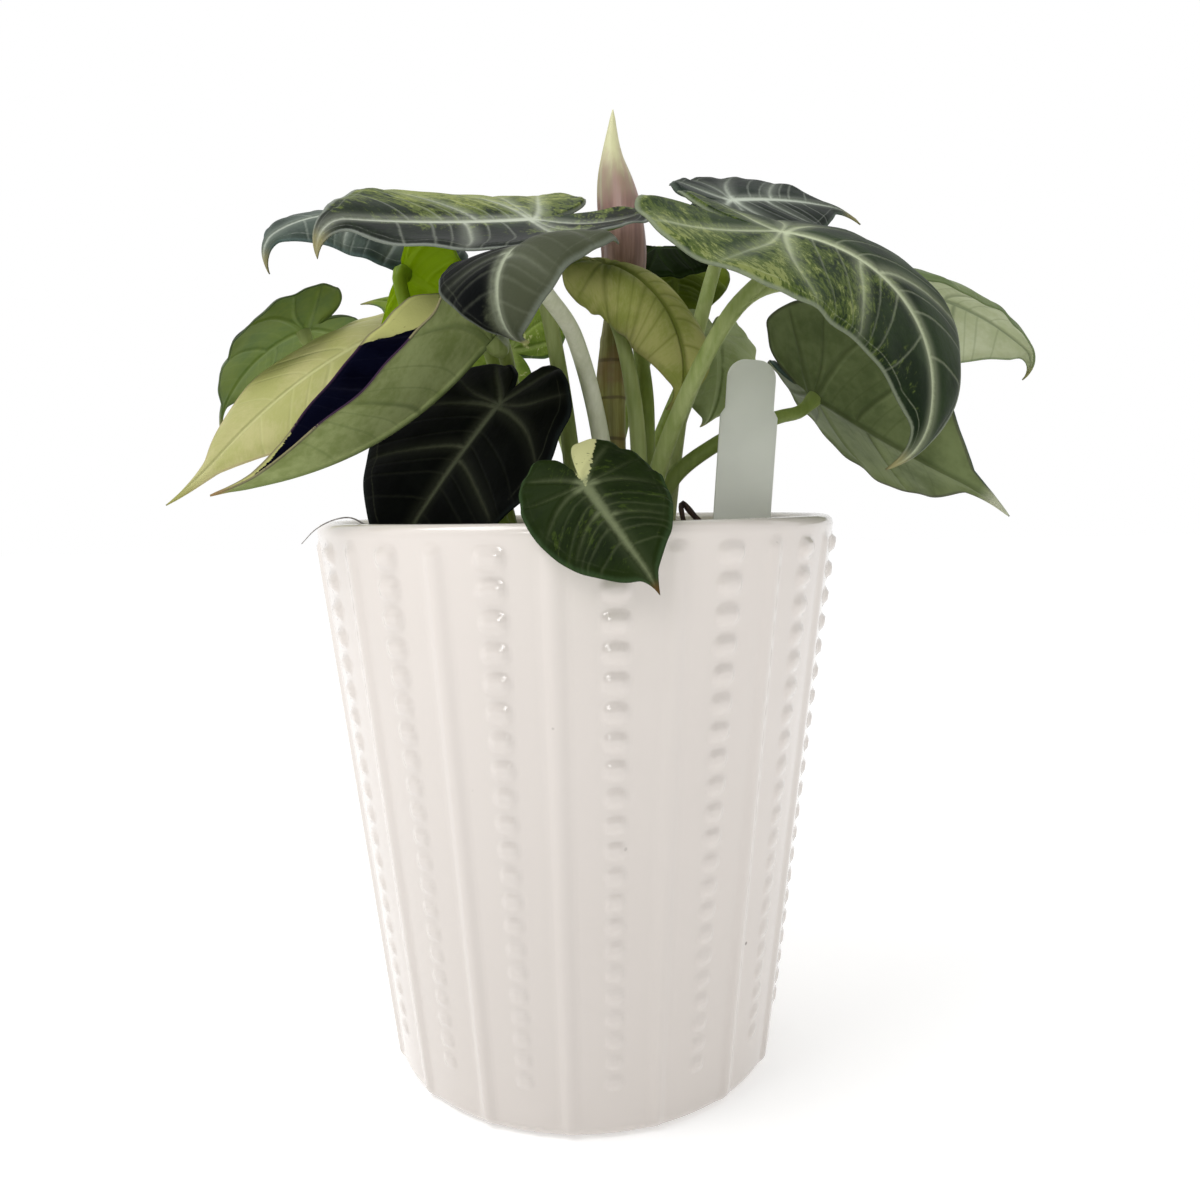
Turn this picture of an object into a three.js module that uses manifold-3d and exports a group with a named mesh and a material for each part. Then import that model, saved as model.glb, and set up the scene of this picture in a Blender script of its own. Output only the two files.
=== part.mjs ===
// Potted ninja alocasia: a small aroid with thick dark heart-shaped leaves in a beaded white pot.
// Millimetres, +Z up, the origin at the centre of the pot's foot. The front of the plant faces -Y.
import * as THREE from 'three';
import * as BufferGeometryUtils from 'three/addons/utils/BufferGeometryUtils.js';
import Module from 'manifold-3d';

// Pot
const POT_HEIGHT = 148.5;
const RIM_RADIUS = 70;
const FOOT_RADIUS = 53;
const FOOT_ROUND = 3.5;
const WALL = 4.5;
const FLOOR = 6;
const POT_SIDES = 32;

// Relief on the pot's wall: columns of beads, and a ridge halfway between two columns
const COLUMNS = 16;
const FIRST_COLUMN_TURN = 6.8;
const BEADS_PER_COLUMN = 21;
const TOP_BEAD_BELOW_RIM = 7.5;
const TOP_BEAD_PITCH = 7.1;
const BEAD_WIDTH = 6.3;
const BEAD_TALL = 4.7;
const BEAD_PROUD = 1.0;
const BEAD_SLOPE = 0.9;
const RIDGE_WIDTH = 3;
const RIDGE_PROUD = 0.9;
const RIDGE_TOP_BELOW_RIM = 5;
const SUNK = 0.8;

// Soil
const SOIL_BELOW_RIM = 22;
const SOIL_GAP = 0.3;
const SOIL_BUMP = 1.4;
const SOIL_SIDES = 24;
const SOIL_RINGS = [0.4, 0.75, 1];
const ROOT_DEPTH = 12;

// Leaves
const BLADE_THICKNESS = 0.8;
const JOINT_GAP = 0.4;
const MIDRIB_STEPS = 120;
const LONGEST_LOBE = 0.5;
const RIPPLE = 1;
const RIPPLES = 3;
const PETIOLE_SIDES = 6;
const PETIOLE_STEPS = 8;
const PETIOLE_FOOT_RADIUS = 2.8;
const PETIOLE_TOP_RADIUS = 1.8;
const COLLAR = 6;

// Flower: a closed spathe on a stout banded stalk, thickness as [height, radius]
const STALK_FOOT = [9, 9];
const STALK_ROUTE = [[10, 9, 165], [10.5, 9, 186], [12.7, 8.5, 205]];
const STALK_RADIUS = 4.7;
const STALK_TOP_RADIUS = 3.6;
const SPATHE_ROUTE = [[13.2, 8, 207], [14.9, 8, 220], [13.8, 7, 232.5], [11.8, 6, 246.5], [12.1, 6, 259.5]];
const SPATHE_RADII = [4, 5.5, 6.1, 6.2, 6.1, 5.7, 4.6, 2.7, 1.4, 0.3];
const FLOWER_SIDES = 12;

// Plant label: a white plastic tag with a round head and shoulders, standing in the soil
const LABEL_FOOT = [41.8, -9, 105];
const LABEL_LEAN = 4.2;
const LABEL_TURN = 6;
const LABEL_TALL = 85;
const LABEL_WIDTH = 15.9;
const LABEL_HEAD_WIDTH = 13.4;
const LABEL_SHOULDER = 72;
const LABEL_HEAD_ROUND = 5;
const LABEL_POINT = 14;
const LABEL_THICKNESS = 0.8;

// Dried sheath: a dead brown leaf base, folded over at its top
const SHEATH_ROUTE = [[29, -14, 116], [30, -14, 138], [28, -13.5, 152], [31, -13, 149], [36, -12, 143]];
const SHEATH_RADIUS = 1.1;

// Half of a blade's outline, from the drip tip round one side to the notch behind the petiole.
// Along is a fraction of the blade's length from the petiole, across of its half width.
const HALF_OUTLINE = [
  [1, 0], [0.955, 0.045], [0.9, 0.13], [0.78, 0.38], [0.6, 0.68], [0.38, 0.9],
  [0.14, 1], [-0.1, 0.95], [-0.3, 0.74], [-0.42, 0.42], [-0.36, 0.14], [-0.14, 0],
];
const DRIP_START = 0.9;
const TIP_POINTS = 3;

// Each leaf: where its petiole joins the blade, the heading of its midrib (0 is +X, 90 is +Y), how it
// rises and droops, how it banks, how each half folds and curls, and where its petiole leaves the soil.
const LEAVES = {
  big_right: {
    at: [48, -45, 213], heading: -14, rise: -13, bank: 24, length: 71, width: 74, drip: 4,
    droop: 108, bend: 1.2, back: -15, foldR: -2, curlL: -11, curlR: -7, twist: 9, tip: 33, side: 2,
    foot: [18, -16], route: [[21, -22, 160], [37, -37, 196]],
  },
  top_left: {
    at: [-10, -14, 225], heading: 212, rise: -11, bank: -34, length: 59, width: 73, drip: 5,
    droop: -6, back: -9, foldL: 4, foldR: 3, curlL: 32, curlR: -34, twist: -11, tip: 93, side: 7,
    foot: [0, -8], route: [[-1, -10, 164], [-6, -16, 200]],
  },
  back_right: {
    at: [46, 12, 237], heading: 23, rise: 9, bank: 36, length: 40, width: 40, drip: 8, droop: 13,
    back: -8, foldL: 3, foldR: -2, curlL: -6, curlR: -16, twist: -2, tip: 20, side: 5,
    foot: [24, 4], route: [[30, 2, 180], [37, 3, 208]],
  },
  front_middle: {
    at: [-8, -63, 206], heading: -127, rise: -7, bank: 3, length: 30, width: 44, drip: 3,
    droop: 155, bend: 1.2, back: -8, foldL: 12, foldR: 7, curlL: -37, curlR: -22, twist: -1,
    tip: 10, side: 3, lobe: 0.6,
    foot: [9, -20], route: [[6.6, -24, 168], [0.5, -38, 191]],
  },
  front_black: {
    at: [-19, -24, 177], heading: -157, rise: -49, bank: -18, length: 52, width: 63, drip: 2,
    droop: 9, bend: 1.1, back: 5, foldL: 6, foldR: 10, curlL: -1, curlR: -10, twist: -29, tip: 27,
    side: 6, lobe: 0.6,
    foot: [-7, -15], route: [[-10, -15, 150]],
  },
  over_rim: {
    at: [2, -74, 156], heading: -57, rise: -39, bank: 26, length: 30, width: 30, drip: 2, droop: -2,
    back: 3, foldL: 8, foldR: -6, curlL: -16, curlR: -20, twist: 8, tip: 17, side: -3,
    rings: 3,
    foot: [3, -30], route: [[3, -40, 145], [3, -59, 155]], approach: 3,
  },
  low_right: {
    at: [68, 3, 181], heading: -37, rise: -35, bank: -48, length: 54, width: 65, drip: 8, droop: -8,
    bend: 0.9, back: -8, foldL: 25, foldR: 10, curlL: 2, curlR: -10, twist: -15, tip: 20, side: 3,
    foot: [23, -7], route: [[25, -4, 156], [39, -3, 168], [56, -1, 175]],
  },
  far_right: {
    at: [108, 50, 221], heading: -10, bank: -22, length: 52, width: 64, drip: 4, droop: 35, bend: 1.2,
    rise: -16, back: -2, foldL: -8, foldR: -10, curlL: -24, curlR: -39, twist: 4, tip: 90, side: -2,
    foot: [24, 15], route: [[29, 20, 170], [44, 27, 202], [57, 33, 216], [80, 43, 220]],
  },
  low_left: {
    at: [-88, 53, 210], heading: 185, rise: -23, bank: 6, length: 41, width: 58, drip: 6, droop: 48,
    bend: 1.1, back: -4, foldL: 9, curlL: -11, curlR: -20, twist: -14, tip: 20, side: 2,
    foot: [-15, 13], route: [[-30, 20, 160], [-60, 30, 190]],
  },
  back_left: {
    at: [-49, 18, 233], heading: 210, rise: 11, bank: -20, length: 44, width: 48, drip: 6,
    droop: 55, bend: 1.1, foldL: -10, foldR: -1, curlL: -27, curlR: -20, twist: -7, tip: 71,
    side: 2,
    foot: [-9, 5], route: [[-18, 10, 175], [-31, 14, 212]],
  },
  folded_left: {
    at: [-21, -25, 193], heading: 203, rise: -51, bank: -7, length: 76, width: 56, drip: 2,
    droop: -46, bend: 1.1, foldL: 48, foldR: 37, twist: -15, tip: 7, side: -1, lobe: 0.3,
    foot: [-10, -7], route: [[-16, 4, 178], [-19, -8, 196]], approach: 3,
  },
  pale_left: {
    at: [-47, 29, 208], heading: 191, rise: -16, bank: -18, length: 84, width: 58, drip: 8,
    droop: 36, bend: 0.7, foldL: -4, foldR: 10, curlL: -60, curlR: -26, twist: -23, tip: -19,
    side: 10, lobe: 0.2,
    foot: [-17, 4], route: [[-26, 12, 170]],
  },
  behind_left: {
    at: [-22, 74, 206], heading: 170, rise: 32, bank: -54, length: 54, width: 61, drip: 4, droop: 22,
    foldR: 5, curlL: -10, curlR: -14, twist: 6, tip: 20, lobe: 0.6,
    foot: [-4, 21], route: [[-1, 36, 145], [-3, 66, 172], [-11, 80, 190]], approach: 5,
  },
  bright_left: {
    at: [-44, -6, 214], heading: -5, rise: -30, bank: -60, length: 24, width: 34, drip: 5,
    droop: 7, foldL: -2, curlL: -23, curlR: -20, twist: -1, tip: 19, lobe: 0.2,
    approach: 3,
    rings: 3,
    foot: [-17, -5], route: [[-32, 7, 176], [-42, -7, 199]],
  },
  behind_right: {
    at: [45, 41, 205], heading: -62, rise: -65, bank: -9, length: 31, width: 43, drip: 3, droop: 71,
    back: -2, foldL: 5, curlL: -22, curlR: -20, twist: 2, tip: 27, lobe: 0.6,
    rings: 3,
    foot: [14, 22], route: [[26, 42, 170]],
  },
  small_back: {
    at: [27, 38, 231], heading: -8, rise: -4, bank: 38, length: 24, width: 34, drip: 3, droop: 10,
    foldL: -24, curlL: -10, curlR: -14, tip: 10, lobe: 0.7, approach: 4,
    rings: 3,
    foot: [19, 9], route: [[21, 13, 180], [19, 26, 214]],
  },
  bright_back: {
    at: [35, 60, 231], heading: -99, rise: -43, length: 34, width: 36, drip: 3, droop: 16,
    curlL: -20, curlR: -20, tip: 20, side: -1, lobe: 0.7,
    rings: 3,
    foot: [5, 18], route: [[16, 40, 180]],
  },
  rolled_middle: {
    at: [9.3, -11.6, 213.9], heading: -18, rise: -16, bank: 18, length: 47, width: 40, drip: 2, droop: 90,
    bend: 0.9, back: 11, foldL: 26, foldR: 21, curlL: -134, curlR: -156, twist: 24, tip: 49,
    side: -6,
    foot: [16, -6], route: [[17, -8, 169], [13, -8, 196]], lobe: 0.5,
  },
};
const PLAIN_LEAF = {
  rise: 0, bank: 0, droop: 0, bend: 1, back: 0, foldL: 0, foldR: 0, curlL: 0, curlR: 0,
  twist: 0, tip: 0, side: 0, lobe: 1, approach: 6, rings: 4,
};

// Colours and finish
const FINISH = {
  glaze: { color: 0xece6df, roughness: 0.25, metalness: 0 },
  soil: { color: 0x3a2c22, roughness: 0.95, metalness: 0 },
  blade: { color: 0x33453a, roughness: 0.45, metalness: 0 },
  petiole: { color: 0x8fa468, roughness: 0.5, metalness: 0 },
  stalk: { color: 0x8a8460, roughness: 0.6, metalness: 0 },
  spathe: { color: 0xb08f8a, roughness: 0.55, metalness: 0 },
  label: { color: 0xe9ecea, roughness: 0.4, metalness: 0 },
  sheath: { color: 0x4a352b, roughness: 0.9, metalness: 0 },
};

for (const leaf of Object.values(LEAVES)) Object.assign(leaf, { ...PLAIN_LEAF, ...leaf });

const wasm = await Module();
wasm.setup();

const radians = THREE.MathUtils.degToRad;
const clamp = THREE.MathUtils.clamp;

// A closed mesh with its shared corners merged, its flat triangles dropped and its faces outwards
function closedMesh(geometry) {
  const bare = new THREE.BufferGeometry();
  bare.setAttribute('position', geometry.getAttribute('position').clone());
  if (geometry.index) bare.setIndex(geometry.index.clone());
  const merged = BufferGeometryUtils.mergeVertices(bare, 1e-3);
  const place = merged.getAttribute('position');
  const corner = (k) => new THREE.Vector3().fromBufferAttribute(place, k);
  const kept = [];
  let volume = 0;
  for (let k = 0; k < merged.index.count; k += 3) {
    const [a, b, c] = [0, 1, 2].map((j) => merged.index.getX(k + j));
    if (a === b || b === c || c === a) continue;
    kept.push(a, b, c);
    volume += corner(a).dot(corner(b).cross(corner(c)));
  }
  if (volume < 0) kept.reverse();
  merged.setIndex(kept);
  return merged;
}

function toSolid(geometry) {
  const closed = closedMesh(geometry);
  return new wasm.Manifold(new wasm.Mesh({
    numProp: 3,
    vertProperties: new Float32Array(closed.getAttribute('position').array),
    triVerts: new Uint32Array(closed.index.array),
  }));
}

function fromSolid(solid) {
  const mesh = solid.getMesh();
  const geometry = new THREE.BufferGeometry();
  geometry.setAttribute('position', new THREE.BufferAttribute(mesh.vertProperties, 3));
  geometry.setIndex(new THREE.BufferAttribute(mesh.triVerts, 1));
  return geometry;
}

function joined(solids) {
  return wasm.Manifold.union(solids);
}

// A body of revolution about +Z from a profile of [radius, height] that starts and ends on the axis
function revolved(profile, sides) {
  const points = profile.map(([radius, height]) => new THREE.Vector2(radius, height));
  return new THREE.LatheGeometry(points, sides).rotateX(Math.PI / 2);
}

function named(name, geometry, finish) {
  const mesh = new THREE.Mesh(closedMesh(geometry), new THREE.MeshStandardMaterial(finish));
  mesh.name = name;
  return mesh;
}

// Radius of the pot's outer wall at a height
function wallRadius(height) {
  return FOOT_RADIUS + (RIM_RADIUS - FOOT_RADIUS) * height / POT_HEIGHT;
}

function soilHeight() {
  return POT_HEIGHT - SOIL_BELOW_RIM;
}

function potBody() {
  const round = FOOT_ROUND;
  const lip = WALL / 2;
  const profile = [[0, 0], [FOOT_RADIUS - round, 0]];
  profile.push([FOOT_RADIUS - round * 0.3, round * 0.3], [wallRadius(round), round]);
  profile.push([RIM_RADIUS, POT_HEIGHT - lip], [RIM_RADIUS - lip * 0.4, POT_HEIGHT - lip * 0.3]);
  profile.push([RIM_RADIUS - lip, POT_HEIGHT]);
  profile.push([RIM_RADIUS - WALL + lip * 0.4, POT_HEIGHT - lip * 0.3]);
  profile.push([RIM_RADIUS - WALL, POT_HEIGHT - lip], [wallRadius(FLOOR) - WALL, FLOOR], [0, FLOOR]);
  const body = revolved(profile, POT_SIDES);
  return toSolid(body.rotateZ(radians(FIRST_COLUMN_TURN) + Math.PI / POT_SIDES));
}

// Heights of the beads' middles: their pitch shrinks with the pot's radius towards the foot
function beadHeights() {
  const heights = [];
  let height = POT_HEIGHT - TOP_BEAD_BELOW_RIM;
  for (let k = 0; k < BEADS_PER_COLUMN; k += 1) {
    heights.push(height);
    height -= TOP_BEAD_PITCH * wallRadius(height) / RIM_RADIUS;
  }
  return heights;
}

// A prism from a section of [across, out] points and a rule that gives each end's places
function prismBetween(section, endPlace) {
  const count = section.length;
  const places = [0, 1].flatMap((end) => section.flatMap((point) => endPlace(end, point)));
  const faces = [];
  for (let k = 0; k < count; k += 1) {
    const next = (k + 1) % count;
    faces.push(k, next, count + next, k, count + next, count + k);
    if (k > 0 && next > 0) faces.push(0, k + 1, k, count, count + k, count + k + 1);
  }
  const geometry = new THREE.BufferGeometry();
  geometry.setAttribute('position', new THREE.Float32BufferAttribute(places, 3));
  geometry.setIndex(faces);
  return geometry;
}

// A bead: a square frustum that stands out of the wall, its foot sunk in the wall
function bead(turn, height) {
  const radius = wallRadius(height) * Math.cos(Math.PI / POT_SIDES);
  const scale = radius / RIM_RADIUS;
  const square = [[-0.5, -0.5], [0.5, -0.5], [0.5, 0.5], [-0.5, 0.5]];
  const geometry = prismBetween(square, (end, [across, up]) => [
    radius + (end ? BEAD_PROUD : -SUNK),
    across * (BEAD_WIDTH * scale - end * BEAD_SLOPE),
    height + up * (BEAD_TALL * scale - end * BEAD_SLOPE),
  ]);
  return toSolid(geometry.rotateZ(turn));
}

// A ridge: a narrow rounded rib that runs down the wall and follows its taper
function ridge(turn) {
  const heights = [FOOT_ROUND, POT_HEIGHT - RIDGE_TOP_BELOW_RIM];
  const section = [[-SUNK, -0.5], [RIDGE_PROUD * 0.7, -0.4], [RIDGE_PROUD, -0.15]];
  section.push(...section.slice().reverse().map(([out, across]) => [out, -across]));
  const geometry = prismBetween(section, (end, [out, across]) => [
    wallRadius(heights[end]) * Math.cos(Math.PI / POT_SIDES) + out, across * RIDGE_WIDTH, heights[end],
  ]);
  return toSolid(geometry.rotateZ(turn));
}

function makePot() {
  const parts = [potBody()];
  const first = radians(FIRST_COLUMN_TURN - 90);
  const step = 2 * Math.PI / COLUMNS;
  for (let column = 0; column < COLUMNS; column += 1) {
    const turn = first + column * step;
    for (const height of beadHeights()) parts.push(bead(turn, height));
    parts.push(ridge(turn + step / 2));
  }
  return named('pot', fromSolid(joined(parts)), FINISH.glaze);
}

// A tube along a curve, with a radius at each step and flat ends. Flat < 1 makes its section an oval.
function sweptTube(curve, steps, sides, radiusAt, flat = 1) {
  const frames = curve.computeFrenetFrames(steps, false);
  const places = [];
  const faces = [];
  for (let step = 0; step <= steps; step += 1) {
    const middle = curve.getPointAt(step / steps);
    for (let side = 0; side < sides; side += 1) {
      const angle = 2 * Math.PI * side / sides;
      const point = middle.clone();
      point.addScaledVector(frames.normals[step], Math.cos(angle) * radiusAt(step / steps));
      point.addScaledVector(frames.binormals[step], Math.sin(angle) * radiusAt(step / steps) * flat);
      places.push(point.x, point.y, point.z);
      if (step === steps) continue;
      const here = step * sides + side;
      const beside = step * sides + (side + 1) % sides;
      faces.push(here, beside, beside + sides, here, beside + sides, here + sides);
    }
  }
  for (let side = 1; side < sides - 1; side += 1) {
    const last = steps * sides;
    faces.push(0, side + 1, side, last, last + side, last + side + 1);
  }
  const geometry = new THREE.BufferGeometry();
  geometry.setAttribute('position', new THREE.Float32BufferAttribute(places, 3));
  geometry.setIndex(faces);
  return geometry;
}

function curveThrough(points) {
  return new THREE.CatmullRomCurve3(points.map((p) => new THREE.Vector3(...p)));
}

// The midrib as a table of places and directions along the blade, by small steps from the petiole
function midribOf(leaf) {
  const start = -LONGEST_LOBE * leaf.length;
  const end = leaf.length + leaf.drip;
  const pace = (end - start) / MIDRIB_STEPS;
  const rows = [];
  const place = new THREE.Vector3();
  let before = null;
  for (let k = 0; k <= MIDRIB_STEPS; k += 1) {
    const along = start + k * pace;
    const part = along / leaf.length;
    const past = clamp((part - 0.85) * leaf.length / (0.15 * leaf.length + leaf.drip), 0, 1);
    let climb = leaf.rise + leaf.back * Math.max(-part, 0) / 0.31;
    climb -= leaf.droop * clamp(part, 0, 1) ** leaf.bend + leaf.tip * past;
    const sweep = radians(leaf.side * clamp(part, 0, 1.2) ** 1.5);
    const up = radians(climb);
    const ahead = new THREE.Vector3(
      Math.cos(up) * Math.cos(sweep), Math.cos(up) * Math.sin(sweep), Math.sin(up));
    if (before) place.addScaledVector(before.clone().add(ahead), pace / 2);
    rows.push({ along, place: place.clone(), up, sweep });
    before = ahead;
  }
  const joint = between(rows, 0).place;
  for (const row of rows) row.place.sub(joint);
  return rows;
}

function between(rows, along) {
  const pace = rows[1].along - rows[0].along;
  const k = clamp(Math.floor((along - rows[0].along) / pace), 0, rows.length - 2);
  const part = (along - rows[k].along) / pace;
  return {
    place: rows[k].place.clone().lerp(rows[k + 1].place, part),
    up: THREE.MathUtils.lerp(rows[k].up, rows[k + 1].up, part),
    sweep: THREE.MathUtils.lerp(rows[k].sweep, rows[k + 1].sweep, part),
  };
}

// A place on the middle surface of a bent blade, from its place along and across the flat blade
function bladePlace(leaf, rows, along, across) {
  const { place, up, sweep } = between(rows, along);
  const ahead = new THREE.Vector3(
    Math.cos(up) * Math.cos(sweep), Math.cos(up) * Math.sin(sweep), Math.sin(up));
  const left = new THREE.Vector3(-Math.sin(sweep), Math.cos(sweep), 0);
  const above = ahead.clone().cross(left);
  const bank = radians(leaf.bank + leaf.twist * along / leaf.length);
  const half = leaf.width / 2;
  const out = Math.abs(across);
  const fold = radians(across >= 0 ? leaf.foldL : leaf.foldR);
  const curl = (radians(across >= 0 ? leaf.curlL : leaf.curlR) || 1e-6) / half;
  let sideways = (Math.sin(fold + curl * out) - Math.sin(fold)) / curl;
  let height = (Math.cos(fold) - Math.cos(fold + curl * out)) / curl;
  if (across < 0) sideways = -sideways;
  const reach = clamp(Math.hypot(along / leaf.length, across / half), 0, 1.2);
  height += RIPPLE * Math.sin(RIPPLES * Math.atan2(across / half, along / leaf.length)) * reach ** 2;
  place.addScaledVector(left, sideways * Math.cos(bank) - height * Math.sin(bank));
  place.addScaledVector(above, sideways * Math.sin(bank) + height * Math.cos(bank));
  place.applyAxisAngle(new THREE.Vector3(0, 0, 1), radians(leaf.heading));
  return place.add(new THREE.Vector3(...leaf.at));
}

function bladeNormal(leaf, rows, along, across) {
  const small = 0.2;
  const ahead = bladePlace(leaf, rows, along + small, across)
    .sub(bladePlace(leaf, rows, along - small, across));
  const left = bladePlace(leaf, rows, along, across + small)
    .sub(bladePlace(leaf, rows, along, across - small));
  return ahead.cross(left).normalize();
}

// One half of a blade's flat outline as [along, across] in millimetres, from the tip to the notch
function halfOutline(leaf) {
  return HALF_OUTLINE.map(([part, out]) => {
    let along = part * leaf.length;
    if (part < 0) along *= leaf.lobe;
    if (part > DRIP_START) {
      const rest = (part - DRIP_START) / (1 - DRIP_START);
      along = DRIP_START * leaf.length + rest * ((1 - DRIP_START) * leaf.length + leaf.drip);
    }
    return [along, out * leaf.width / 2];
  });
}

// The triangles of a flat blade, counter-clockwise from above, and its rim once round. Rings lie about
// the petiole as far as the shoulder, and the narrow tip past it is made of rows of three places.
function bladeSheet(leaf) {
  const half = halfOutline(leaf);
  const body = half.slice(TIP_POINTS);
  const mirrored = body.slice(0, -1).reverse().map(([along, across]) => [along, -across]);
  const round = [[body[0][0], 0], ...body, ...mirrored];
  const count = round.length;
  const flat = [[0, 0]];
  const triangles = [];
  for (let ring = 1; ring <= leaf.rings; ring += 1) {
    const part = ring / leaf.rings;
    const first = flat.length;
    for (const [along, across] of round) flat.push([along * part, across * part]);
    for (let k = 0; k < count; k += 1) {
      const next = (k + 1) % count;
      if (ring === 1) {
        triangles.push([0, first + k, first + next]);
        continue;
      }
      triangles.push([first - count + k, first + k, first + next]);
      triangles.push([first - count + k, first + next, first - count + next]);
    }
  }
  const rim = flat.length - count;
  const toTip = [];
  const fromTip = [];
  let [left, middle, right] = [rim + 1, rim, rim + count - 1];
  for (const [along, across] of half.slice(1, TIP_POINTS).reverse()) {
    const next = flat.length;
    flat.push([along, across], [along, 0], [along, -across]);
    triangles.push([middle, next + 1, next], [middle, next, left]);
    triangles.push([middle, right, next + 2], [middle, next + 2, next + 1]);
    [left, middle, right] = [next, next + 1, next + 2];
    toTip.push(right);
    fromTip.unshift(left);
  }
  const tip = flat.length;
  flat.push(half[0]);
  triangles.push([middle, tip, left], [middle, right, tip]);
  const edge = round.slice(1).map((place, k) => rim + 1 + k);
  return { flat, triangles, edge: [...edge, ...toTip, tip, ...fromTip] };
}

// A blade: its sheet bent into place and given its thickness, split alike on both faces
function bladeGeometry(leaf) {
  const rows = midribOf(leaf);
  const { flat, triangles, edge } = bladeSheet(leaf);
  const places = [];
  for (const side of [1, -1]) {
    for (const [along, across] of flat) {
      const point = bladePlace(leaf, rows, along, across);
      point.addScaledVector(bladeNormal(leaf, rows, along, across), side * BLADE_THICKNESS / 2);
      places.push(point.x, point.y, point.z);
    }
  }
  const under = flat.length;
  const faces = triangles.flatMap(([a, b, c]) => [a, b, c, under + a, under + c, under + b]);
  edge.forEach((here, k) => {
    const next = edge[(k + 1) % edge.length];
    faces.push(here, under + here, under + next, here, under + next, next);
  });
  const geometry = new THREE.BufferGeometry();
  geometry.setAttribute('position', new THREE.Float32BufferAttribute(places, 3));
  geometry.setIndex(faces);
  return geometry;
}

// The petiole's route: straight up out of the soil, then up to the blade's underside
function petioleCurve(leaf) {
  const rows = midribOf(leaf);
  const normal = bladeNormal(leaf, rows, 0, 0);
  const hollow = Math.max(0, -Math.sin(radians(Math.min(leaf.foldL, leaf.foldR))));
  const gap = BLADE_THICKNESS / 2 + JOINT_GAP + hollow * PETIOLE_TOP_RADIUS;
  const joint = bladePlace(leaf, rows, 0, 0).addScaledVector(normal, -gap);
  const before = joint.clone().addScaledVector(normal, -leaf.approach);
  const [x, y] = leaf.foot;
  const start = [x, y, soilHeight() - ROOT_DEPTH];
  const collar = [x, y, soilHeight()];
  const clear = [x, y, soilHeight() + COLLAR];
  return curveThrough([start, collar, clear, ...leaf.route, before.toArray(), joint.toArray()]);
}

function petioleGeometry(leaf, extra = 0) {
  const radiusAt = (part) => extra + THREE.MathUtils.lerp(PETIOLE_FOOT_RADIUS, PETIOLE_TOP_RADIUS, part);
  return sweptTube(petioleCurve(leaf), PETIOLE_STEPS, PETIOLE_SIDES, radiusAt);
}

function stalkGeometry(extra = 0) {
  const [x, y] = STALK_FOOT;
  const start = [x, y, soilHeight() - ROOT_DEPTH];
  const curve = curveThrough([start, [x, y, soilHeight()], ...STALK_ROUTE]);
  const radiusAt = (part) => extra + THREE.MathUtils.lerp(STALK_RADIUS, STALK_TOP_RADIUS, part ** 3);
  return sweptTube(curve, 8, FLOWER_SIDES, radiusAt);
}

function spatheGeometry() {
  const steps = SPATHE_RADII.length - 1;
  return sweptTube(curveThrough(SPATHE_ROUTE), steps, FLOWER_SIDES,
    (part) => SPATHE_RADII[Math.round(part * steps)]);
}

// The label's flat outline, its point down in the soil
function labelShape(extra) {
  const half = LABEL_WIDTH / 2 + extra;
  const head = LABEL_HEAD_WIDTH / 2 + extra;
  const top = LABEL_TALL + extra;
  const corner = head - LABEL_HEAD_ROUND;
  const shape = new THREE.Shape();
  shape.moveTo(0, -extra * 2);
  shape.lineTo(half, LABEL_POINT);
  shape.lineTo(half, LABEL_SHOULDER - 2);
  shape.lineTo(head, LABEL_SHOULDER);
  shape.lineTo(head, top - LABEL_HEAD_ROUND);
  shape.absarc(corner, top - LABEL_HEAD_ROUND, LABEL_HEAD_ROUND, 0, Math.PI / 2, false);
  shape.absarc(-corner, top - LABEL_HEAD_ROUND, LABEL_HEAD_ROUND, Math.PI / 2, Math.PI, false);
  shape.lineTo(-head, LABEL_SHOULDER);
  shape.lineTo(-half, LABEL_SHOULDER - 2);
  shape.lineTo(-half, LABEL_POINT);
  return shape;
}

function labelGeometry(extra = 0) {
  const depth = LABEL_THICKNESS + 2 * extra;
  const geometry = new THREE.ExtrudeGeometry(labelShape(extra), {
    depth, bevelEnabled: false, curveSegments: 5,
  });
  geometry.translate(0, 0, -depth / 2).rotateX(Math.PI / 2);
  geometry.rotateY(radians(LABEL_LEAN)).rotateZ(radians(LABEL_TURN));
  return geometry.translate(...LABEL_FOOT);
}

function sheathGeometry(extra = 0) {
  const radiusAt = (part) => extra + SHEATH_RADIUS * (1 - 0.6 * part);
  return sweptTube(curveThrough(SHEATH_ROUTE), 10, 5, radiusAt, 1.6);
}

// The plain hole that a petiole stands in
function petioleHole(leaf) {
  const depth = ROOT_DEPTH + 2 * SOIL_BUMP + SOIL_GAP;
  const radius = PETIOLE_FOOT_RADIUS + 2 * SOIL_GAP;
  const hole = new THREE.CylinderGeometry(radius, radius, depth, PETIOLE_SIDES);
  const [x, y] = leaf.foot;
  hole.rotateX(Math.PI / 2).translate(x, y, soilHeight() - ROOT_DEPTH - SOIL_GAP + depth / 2);
  return toSolid(hole);
}

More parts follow.
